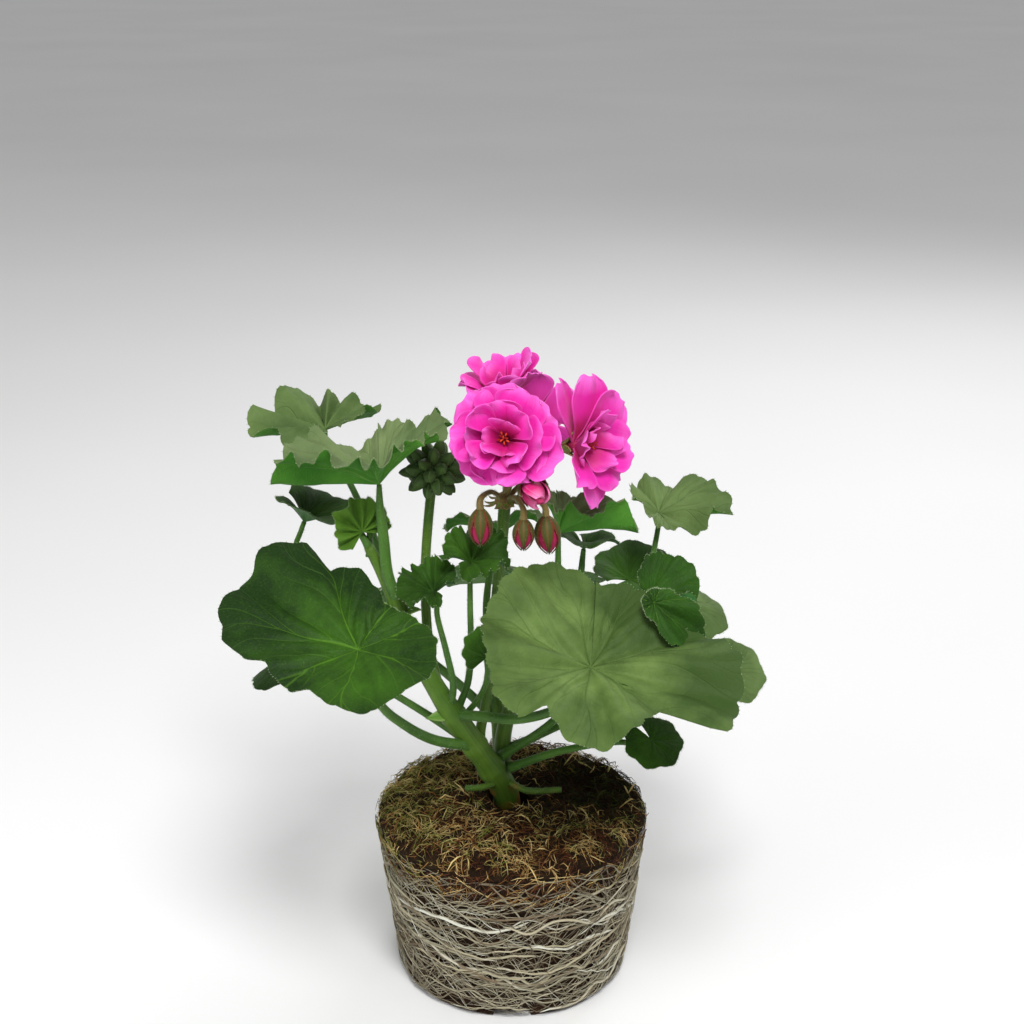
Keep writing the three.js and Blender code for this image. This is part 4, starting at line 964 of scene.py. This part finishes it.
def build_florets():
    front = petal_finish("petal_upper", srgb(170, 8, 76), srgb(232, 44, 172), srgb(244, 106, 208), srgb(206, 20, 136))
    back = petal_finish("petal_under", srgb(186, 26, 112), srgb(226, 66, 180), srgb(238, 120, 210), srgb(204, 44, 156))
    heart = petal_finish("petal_heart", srgb(120, 24, 44), srgb(160, 30, 84), srgb(200, 50, 130), srgb(110, 16, 40))
    for order, (name, floret) in enumerate(FLORETS.items()):
        shape = Shape()
        centre = np.asarray(floret["at"], float) + 3 * unit(floret["axis"])
        for petal in floret_petals(floret, FLORET_SEED + order):
            grid, flat = petal_grid(petal, PETAL_STEPS, PETAL_STEPS)
            along = np.linspace(0, 1, PETAL_STEPS + 1)[:, None]
            # Painted shade: the tone is low near the middle of the floret, where the crowded petals shade one another.
            tone = smoothstep(np.linalg.norm(grid - centre, axis=-1), 2, 17)
            sheet(shape, grid, PETAL_THICKNESS * (1.25 - 0.6 * along), flat, tone, slots=(0, 1))
        add_ovoid(shape, floret["at"], floret["axis"], 6, 4.8, slot=2)
        shape.piece(name + "_fine", [front, back, heart], "petal", [name])


def build_stamens():
    """Curved filaments, each with an anther at its tip."""
    rng = np.random.default_rng(9)
    filament = strand_finish("filament", [(0.2, srgb(190, 40, 70)), (0.8, srgb(222, 90, 110))], 0.5)
    anther = strand_finish("anther", [(0.2, srgb(150, 28, 18)), (0.8, srgb(204, 70, 36))], 0.8)
    for floret in FLORETS.values():
        if "stamens" not in floret:
            continue
        shape = Shape()
        axis = unit(floret["axis"])
        side = frame_of(axis, (0, 0, 1))
        at = np.asarray(floret["at"], float)
        for i in range(9):
            angle = i * 2.4
            lean = 0.4 + 1.5 * math.sqrt(i / 8)
            spoke = math.cos(angle) * side[0] + math.sin(angle) * side[1]
            tip = at + axis * rng.uniform(7, 8.6) + spoke * lean
            path = smooth_path([at + axis * 3.4 + 0.2 * spoke, at + axis * 5.4 + 0.6 * spoke * lean, tip], 8)
            tube(shape, path, spread([0.24, 0.16], 8), 6, tone=0.3 + 0.4 * rng.random())
            add_ovoid(shape, tip, unit(spoke + 0.4 * axis), 1.5, 0.7, slot=1, tone=rng.random(), rows=6, columns=8)
        shape.piece(floret["stamens"] + "_fine", [filament, anther], "stamen", [floret["stamens"]])


def build_buds():
    """Closed buds with parting scales over a pink core, and one bud that opens."""
    rng = np.random.default_rng(12)
    core = petal_finish("bud_core", srgb(120, 16, 50), srgb(190, 34, 92), srgb(208, 60, 120), srgb(140, 16, 70))
    scale = bud_finish("bud_scale", srgb(66, 74, 28), srgb(112, 42, 32), srgb(118, 74, 36))
    opening = petal_finish("bud_petal", srgb(120, 8, 50), srgb(216, 36, 120), srgb(246, 130, 186), srgb(170, 18, 88))
    for name, bud in BUDS.items():
        shape = Shape()
        length, width = bud["size"]
        opens = name == "bud_opening"
        at = np.asarray(bud["at"], float)
        along = unit(bud["along"])
        add_ovoid(shape, at, along, length, width * (0.66 if opens else 0.93), slot=0)
        wraps = 6 if opens else 0
        for i in range(wraps):
            grid, flat = scale_grid(at, along, length, width * 0.68, i * 2.2, lambda g: 1.05 - 0.4 * g**2,
                                    (0.08, 0.95 - 0.02 * (i % 3)), 0.15, spiral=0.95)
            # Painted shade: each wrapped petal is darker towards its tucked edge, under the next wrap.
            sheet(shape, grid, 0.35, flat, 0.15 + 0.4 * (flat[..., 0] + 1), slots=(1, 1))
        top = 0.58 if opens else 1.0
        close = 0.96 if opens else 0.86
        for i in range(5):
            grid, flat = scale_grid(
                at, along, length * (1.0 if opens else 1.03), width, i * 2 * math.pi / 5 + 0.3,
                lambda g: (0.66 + 0.06 * np.sin(3 * g)) * (1 - close * smoothstep(g, 0.08, 1.0)), (0.02, top), 0.3)
            rim = sheet(shape, grid, 0.4, flat, slots=(2, 2))
            surface = grid.reshape(-1, 3)
            roots = surface[rng.integers(0, len(surface), 60)]
            hairs(shape, roots, unit(roots - at), 0.8, rng, slot=3)
            hairs(shape, rim[::2], unit(rim[::2] - at), 0.5, rng, slot=3)
        slot = "petal_bud" if opens else "closed_bud"
        shape.piece(name + "_fine", [core, opening, scale, DOWN], slot, [name])


def build_flower_stalk():
    """The stalk, its hub of bracts, a pedicel to each floret and bud, and the calyces."""
    rng = np.random.default_rng(6)
    shape = Shape()
    stalk = [[-6, 0, 81], [-12, 0, 93], [-10, 1, 108], [-8, 2, 124], [-6, -2, 150], [-4, -5, 172], HUB]
    path = smooth_path(stalk, 60)
    radii = spread([2.6, 2, 2, 2, 2, 2.1, 2.3], 60)
    tube(shape, path, radii, 16, tone=0.9, ribs=0.03, rib_count=6)
    hairy(shape, path, radii, 9, 0.9, rng, slot=3)
    add_ovoid(shape, HUB, (0, 0, 1), 7, 7.4, slot=1)
    for i in range(12):
        angle = i * 2.4
        away = np.array([math.cos(angle), math.sin(angle), 0])
        bract = dict(root=HUB + away * 3 + (0, 0, 1.5 - 0.4 * (i % 5)), grow=away, face=(0, 0, 1),
                     length=5.4, width=3, rise=-50, curl=30, twist=0, ruffle=0)
        grid, flat = petal_grid(bract, 8, 6, pointed=True)
        rim = sheet(shape, grid, 0.35, flat, slots=(2, 2))
        hairs(shape, rim, unit(rim - HUB), 0.7, rng, slot=3)
    for floret in FLORETS.values():
        axis = unit(floret["axis"])
        foot = np.asarray(floret["at"], float) - 5 * axis
        bend = mix(HUB, foot, 0.5) + (0, 0, 1)
        path = smooth_path([HUB, bend, foot], 16)
        tube(shape, path, spread([1, 0.9, 1.0], 16), 10, tone=0.5, slot=1)
        hairy(shape, path, spread([1, 0.9], 16), 20, 0.8, rng, slot=3)
        add_ovoid(shape, foot, axis, 6, 4.0, slot=1, tone=0.4)
        side = frame_of(axis, (0, 0, 1))
        for i in range(5):
            angle = i * 2 * math.pi / 5 + 0.4
            away = math.cos(angle) * side[0] + math.sin(angle) * side[1]
            sepal = dict(root=foot + away * 1.6, grow=away, face=axis, length=8, width=4, rise=74,
                         curl=40, twist=0, ruffle=0)
            grid, flat = petal_grid(sepal, 10, 6, pointed=True)
            rim = sheet(shape, grid, 0.35, flat, slots=(2, 2))
            hairs(shape, rim, unit(rim - foot), 0.7, rng, slot=3)
    for bud in BUDS.values():
        along = unit(bud["along"])
        neck = np.asarray(bud["at"], float) + along * (0.8 - bud["size"][0] / 2)
        above = neck - 4 * along
        bend = mix(HUB, above, 0.6) + (0, 0, 3)
        path = smooth_path([HUB, bend, above, neck], 30)
        radii = spread([0.9, 0.8, 0.9, 1.4], 30)
        tube(shape, path, radii, 10, tone=0.4, slot=1)
        hairy(shape, path, radii, 20, 0.9, rng, slot=3)
    pedicel = stem_finish("pedicel_skin", srgb(142, 124, 66), srgb(104, 84, 46), srgb(140, 66, 50))
    bract = bud_finish("bract", srgb(132, 158, 72), srgb(150, 110, 70), srgb(96, 130, 52))
    shape.piece("flower_stalk_fine", [GREEN_STEM, pedicel, bract, DOWN], "stem", ["flower_stalk"])


def build_young_umbel():
    """A stalk with a dense head of closed, ribbed, hairy buds."""
    rng = np.random.default_rng(7)
    shape = Shape()
    path = smooth_path([[-27, -9, 118], [-31, 0, 134], [-32, 5, 160], [-30.5, 7, 182], UMBEL_CENTRE], 44)
    radii = spread([2.2, 1.9, 1.8, 1.8, 1.8], 44)
    tube(shape, path, radii, 14, tone=0.9, ribs=0.03, rib_count=6)
    hairy(shape, path, radii, 14, 0.9, rng, slot=2)
    add_ovoid(shape, UMBEL_CENTRE, (0, 0, 1), 11, 12, slot=1)
    buds = 30
    for i in range(buds):
        height = 0.97 - 1.8 * i / (buds - 1)
        angle = i * 2.4
        ring = math.sqrt(1 - height * height)
        away = np.array([ring * math.cos(angle), ring * math.sin(angle), height])
        centre = UMBEL_CENTRE + away * rng.uniform(6.4, 7.8)
        size = rng.uniform(9, 11)
        add_ovoid(shape, centre, away, size, rng.uniform(4.2, 5.2), slot=1, tone=rng.random(), rows=12, columns=20,
                  swell=lambda level, around: 1 + 0.09 * np.cos(5 * around))
        roots = centre + unit(rng.normal(size=(60, 3)) + away) * 2.4
        hairs(shape, roots, unit(roots - UMBEL_CENTRE), 1.1, rng, slot=2)
    young = bud_finish("young_bud", srgb(66, 92, 42), srgb(50, 72, 34), srgb(88, 116, 54))
    shape.piece("young_umbel_fine", [GREEN_STEM, young, DOWN], "green_bud", ["young_umbel"])


# Root ball

PEAT = [(0.3, srgb(16, 11, 8)), (0.46, srgb(38, 26, 18)), (0.58, srgb(70, 48, 32)), (0.74, srgb(112, 84, 56))]
ROOT = [(0.0, srgb(66, 54, 40)), (0.25, srgb(116, 100, 78)), (0.5, srgb(150, 146, 124)), (0.75, srgb(176, 166, 138)),
        (1.0, srgb(214, 214, 200))]
FIBRE = [(0.0, srgb(26, 17, 10)), (0.2, srgb(98, 50, 24)), (0.4, srgb(170, 128, 68)), (0.6, srgb(222, 198, 136)),
         (0.8, srgb(124, 128, 50)), (1.0, srgb(44, 50, 20))]


def plug_radius(height):
    return mix(BALL_BASE_RADIUS, BALL_TOP_RADIUS - 2, height / BALL_HEIGHT)


def in_channel(x, y):
    """Whether a spot of the base lies in one of the four drain channels."""
    def slot(across, along):
        return (np.abs(across) < CHANNEL_WIDTH / 2) & (np.abs(along) > BALL_BASE_RADIUS - CHANNEL_DEPTH)
    return slot(x, y) | slot(y, x)


def build_peat():
    """The crumbly plug: its side, its channelled base and its top."""
    shape = Shape()
    columns = 260
    angle = np.linspace(0, 2 * math.pi, columns, endpoint=False)[None]
    heights = np.concatenate([[0.0], np.linspace(0.5, BALL_HEIGHT, 56)])[:, None]
    radius = plug_radius(heights) - 0.8 * (heights < 0.4)
    spots = np.stack(np.broadcast_arrays(radius * np.cos(angle), radius * np.sin(angle), heights), -1)
    lumps = rough(spots, 7.0, 3.0) * 0.9 + rough(spots, 2.2, 9.0, 3) * 0.5 - 0.5
    radius = radius + lumps * smoothstep(heights, 0, 3) * (1.7 - 0.7 * smoothstep(heights, 3, 10))
    notch = in_channel(spots[..., 0], spots[..., 1]) & (heights < CHANNEL_HEIGHT)
    radius = np.where(notch, BALL_BASE_RADIUS - CHANNEL_DEPTH, radius)
    side = np.stack(np.broadcast_arrays(radius * np.cos(angle), radius * np.sin(angle), heights), -1)
    base_rings = np.linspace(0, BALL_BASE_RADIUS - 0.8, 16)[:, None]
    base = np.stack(np.broadcast_arrays(base_rings * np.cos(angle), base_rings * np.sin(angle), 0 * base_rings), -1)
    base = base.copy()
    base[..., 2] = np.where(in_channel(base[..., 0], base[..., 1]), CHANNEL_HEIGHT, 0)
    top_rings = np.linspace(plug_radius(BALL_HEIGHT), 0, 12)[:, None]
    top = np.stack(np.broadcast_arrays(
        top_rings * np.cos(angle), top_rings * np.sin(angle), BALL_HEIGHT + 0 * top_rings), -1)
    grid = np.concatenate([base[:-1], side, top[1:]])
    shape.add(grid, grid_faces(*grid.shape[:2], wrap=True))
    shape.piece("root_ball_fine", [earth_finish("peat", PEAT, 240.0, 0.0012)], "peat", ["root_ball"])


def strand_path(start, length, level, drift, layer, rng, count):
    """The way of one root round the plug: all roots share a gentle flow, which each leaves in its own way."""
    run = np.linspace(0, 1, count)
    angle = start + length * run
    flow = 1.3 * np.sin(3 * angle + level / 9) + 0.9 * np.sin(8 * angle - level / 5 + 1.3)
    own = rng.uniform(0.5, 2.6) * np.sin(rng.uniform(3, 16) * angle + rng.uniform(0, 6))
    fine = rng.uniform(0.1, 0.5) * np.sin(rng.uniform(20, 48) * angle + rng.uniform(0, 6))
    height = level + drift * (run - 0.5) + flow + own + fine
    height = 2.4 + np.logaddexp(0, (height - 2.4) / 1.2) * 1.2
    height = np.minimum(height, 62)
    lift = layer + 0.35 * np.sin(rng.uniform(5, 16) * angle + rng.uniform(0, 6))
    radius = plug_radius(height) + np.maximum(lift, 0.1)
    return np.stack([radius * np.cos(angle), radius * np.sin(angle), height], 1)


def build_roots():
    """Hundreds of pale roots that wind round the plug in several layers and sizes."""
    rng = np.random.default_rng(21)
    shape = Shape()
    kinds = [
        # count, thickness, arc, drift, layer, lowest and highest level, sides
        (40, (0.36, 0.66), (0.7, 2.2), 18, (1.0, 1.7), (5, 57), 5),
        (210, (0.18, 0.34), (0.4, 1.6), 28, (0.6, 1.8), (4, 60), 4),
        (1350, (0.07, 0.19), (0.1, 0.7), 34, (0.2, 2.0), (3, 62), 3),
    ]
    for count, thickness, arc, drift, layer, levels, sides in kinds:
        for i in range(count):
            length = rng.uniform(*arc) * rng.choice([-1, 1])
            points = int(max(6, abs(length) * 24))
            level = mix(*levels, rng.beta(1.1, 1.25))
            path = strand_path(rng.uniform(0, 2 * math.pi), length, level, rng.normal() * drift / 2,
                               rng.uniform(*layer), rng, points)
            run = np.linspace(0, 1, points)
            thick = rng.uniform(*thickness)
            radii = thick * np.sqrt(np.clip(np.minimum(run * 14, (1 - run) * 5), 0.02, 1))
            # Painted shade: roots are darker towards the top of the plug, under the overhanging moss cap and its
            # fringe.
            shade_under_cap = 0.25 * smoothstep(path[:, 2], 48, 60)
            tone = np.clip(rng.beta(2.4, 2) + 0.25 * smoothstep(run, 0.85, 1) - shade_under_cap, 0, 1)
            tube(shape, path, radii, sides, tone=tone)
    shape.piece("roots_fine", [strand_finish("root_skin", ROOT, 0.6, 0.3)], "root", ["roots"])


def moss_height(x, y):
    """The cap's surface: a low dome with a hollow at the back right, a soft rim and tufts."""
    radius = np.hypot(x, y)
    dome = np.interp(radius, [0, 24, 38, 46, 49.5, 51.6], [MOSS_HEIGHT + 0.6, MOSS_HEIGHT, 70, 68.6, 67, 64.5])
    hollow = 3.2 * np.exp(-(((x - 26) / 15) ** 2 + ((y - 10) / 17) ** 2))
    spots = np.stack([x, y, 0 * x], -1)
    return dome - hollow + rough(spots, 9.0, 5.0, 2) * 2.0 + rough(spots, 3.2, 2.0, 2) * 1.5


def build_moss():
    """The cap: lumpy ground, a mat of fine fibres, coarse straws, and fringes over the rim."""
    rng = np.random.default_rng(5)
    shape = Shape()
    columns = 150
    angle = np.linspace(0, 2 * math.pi, columns, endpoint=False)[None]
    rings = np.linspace(9, 51.2, 36)[:, None]
    x = rings * np.cos(angle)
    y = rings * np.sin(angle)
    top = np.stack([x, y, moss_height(x, y) - 1.2], -1)
    inner = top[:1].copy()
    inner[..., 2] = BALL_HEIGHT + 0.4
    wall = []
    for radius, height in ((51.3, 63.6), (50.6, BALL_HEIGHT + 0.4), (9, BALL_HEIGHT + 0.4)):
        ring = np.stack(np.broadcast_arrays(radius * np.cos(angle), radius * np.sin(angle), height), -1)
        wall.append(ring)
    grid = np.concatenate([inner, top, *wall])
    shape.add(grid, grid_faces(*grid.shape[:2], wrap=True)[:, ::-1])
    add_fibres(shape, rng)
    add_fringe(shape, rng)
    ground = earth_finish("moss_ground", [(0.3, srgb(12, 9, 6)), (0.5, srgb(38, 26, 14)), (0.7, srgb(78, 58, 32))],
                          260.0, 0.0012)
    shape.piece("moss_cap_fine", [ground, strand_finish("fibre", FIBRE, 0.85, 0.25)], "moss", ["moss_cap"])


def add_fibres(shape, rng):
    """Curled fibres that lie on the cap, thicker straws among them, and wisps over its rim."""
    kinds = [
        # count, half length, thickness, curl, lift
        (5700, (0.8, 3.2), (0.06, 0.15), 0.7, (-0.4, 1.3)),
        (620, (1.8, 5.0), (0.1, 0.24), 0.35, (0.2, 2.0)),
        (26, (3.0, 5.5), (0.2, 0.34), 0.2, (1.0, 2.0)),
    ]
    for kind, (count, half, thickness, curl, lift) in enumerate(kinds):
        for i in range(count):
            radius = 10 + 41 * math.sqrt(rng.random())
            turn = rng.uniform(0, 2 * math.pi)
            centre = radius * np.array([math.cos(turn), math.sin(turn)])
            heading = rng.uniform(0, 2 * math.pi)
            run = np.linspace(-1, 1, FIBRE_STEPS)
            bend = heading + curl * rng.normal() * run
            reach = rng.uniform(*half) / (FIBRE_STEPS - 1) * 2
            x = centre[0] + np.cumsum(np.cos(bend)) * reach - reach * FIBRE_STEPS / 2 * math.cos(heading)
            y = centre[1] + np.cumsum(np.sin(bend)) * reach - reach * FIBRE_STEPS / 2 * math.sin(heading)
            out = np.hypot(x, y)
            held = np.minimum(1, 51.8 / np.maximum(out, 1e-6))
            x = x * held
            y = y * held
            level = moss_height(*centre)
            ground = level + 0.6 * (moss_height(x, y) - level)
            z = ground + rng.uniform(*lift) * (1 - 0.6 * run**2) + 0.9 * rng.normal() * run
            z = z - np.maximum(0, out - 51.8) * 0.9
            radii = rng.uniform(*thickness) * np.array([0.4, *[1.0] * (FIBRE_STEPS - 2), 0.3])
            tube(shape, np.stack([x, y, z], 1), radii, 3 if kind < 2 else 5, fibre_tone(centre, kind, rng), 1)


def add_fringe(shape, rng):
    """Wisps of moss and fine peat fibres that hang over the rim, most of them at the front left."""
    run = np.linspace(0, 1, FIBRE_STEPS)
    for i in range(760):
        turn = math.radians(rng.normal(240, 60) if i % 3 else rng.uniform(0, 360))
        height = rng.uniform(54, 66) - rng.uniform(0, 7) * run
        angle = turn + 0.09 * rng.normal() * run + 0.03 * rng.normal() * run**2
        radius = np.interp(height, [48, 60, 63, 68], [49.2, 50.9, 51.9, 51.2]) + rng.uniform(-0.2, 0.9)
        path = np.stack([radius * np.cos(angle), radius * np.sin(angle), height], 1)
        radii = rng.uniform(0.06, 0.17) * np.array([1, 1, 0.9, 0.3])
        tube(shape, path, radii, 3, fibre_tone(path[0, :2], 0, rng), 1)


def fibre_tone(centre, kind, rng):
    """Golden and red-brown patches in front, olive ones at the left, and near-black fibres in the hollow at the back
    right, a painted shadow of the large right leaf.
    """
    x, y = centre
    if kind == 2:
        return rng.uniform(0.5, 0.66)
    olive = smoothstep(-x + 0.4 * y, 0, 40) * 0.55
    # Painted shadow: at the back right, under the large right leaf, most fibres are near-black.
    dark = 1.5 * math.exp(-(((x - 31) / 22) ** 2 + ((y - 8) / 24) ** 2))
    if rng.random() < dark:
        return rng.choice([0.02, 0.08, 0.96, 1.0])
    if rng.random() < olive:
        return rng.uniform(0.66, 0.94)
    if noise.noise(Vector((x / 7, y / 7, 9.0))) > 0.2 and rng.random() < 0.7:
        return rng.uniform(0.62, 0.84)
    patch = noise.noise(Vector((x / 8, y / 8, 3.0))) + 0.25 * rng.normal()
    if patch < -0.12:
        return rng.uniform(0.0, 0.24)
    if patch < 0.1:
        return rng.uniform(0.16, 0.44)
    return rng.uniform(0.36, 0.64)


# Stage

def add_light(name, place, target, size, power, colour=(1, 1, 1)):
    light = bpy.data.lights.new(name, "AREA")
    light.shape = "DISK"
    light.size = size
    light.energy = power
    light.color = colour
    holder = bpy.data.objects.new(name, light)
    holder.location = place
    holder.rotation_euler = (Vector(target) - Vector(place)).to_track_quat("-Z", "Y").to_euler()
    bpy.context.scene.collection.objects.link(holder)


def build_stage():
    scene = bpy.context.scene
    camera_data = bpy.data.cameras.new("camera")
    camera_data.lens = CAMERA_LENS
    camera_data.sensor_width = SENSOR
    camera = bpy.data.objects.new("camera", camera_data)
    camera.location = CAMERA_PLACE
    camera.rotation_euler = (CAMERA_PITCH, 0, 0)
    scene.collection.objects.link(camera)
    scene.camera = camera
    floor = Shape()
    half = 20000
    corners = [[-half, -half, -0.2], [half, -half, -0.2], [half, half, -0.2], [-half, half, -0.2]]
    finish = Finish("floor", 0.8, 0.2)
    grain = finish.noise(finish.place(), 2.0, 2.0)
    pale = finish.done(finish.ramp(grain, (0.3, (0.86, 0.86, 0.86, 1)), (0.7, (0.9, 0.9, 0.9, 1))))
    mesh = bpy.data.meshes.new("floor")
    mesh.from_pydata([[c * MM for c in corner] for corner in corners], [], [[0, 1, 2, 3]])
    mesh.materials.append(pale)
    ground = bpy.data.objects.new("floor", mesh)
    scene.collection.objects.link(ground)
    world = bpy.data.worlds.new("studio")
    world.use_nodes = True
    world.node_tree.nodes["Background"].inputs["Color"].default_value = (1, 1, 1, 1)
    world.node_tree.nodes["Background"].inputs["Strength"].default_value = 0.4
    scene.world = world
    add_light("key", (0.12, -0.8, 1.2), (0, 0, 0.12), 0.5, 15)
    add_light("fill", (-0.9, -0.6, 0.6), (0, 0, 0.12), 0.8, 3)
    add_light("rim", (0.5, 0.9, 0.9), (0, 0, 0.14), 0.7, 5)
    scene.view_settings.view_transform = "Standard"


build_stage()
build_peat()
build_roots()
build_moss()
build_stems()
build_leaves()
build_flower_stalk()
build_young_umbel()
build_buds()
build_florets()
build_stamens()
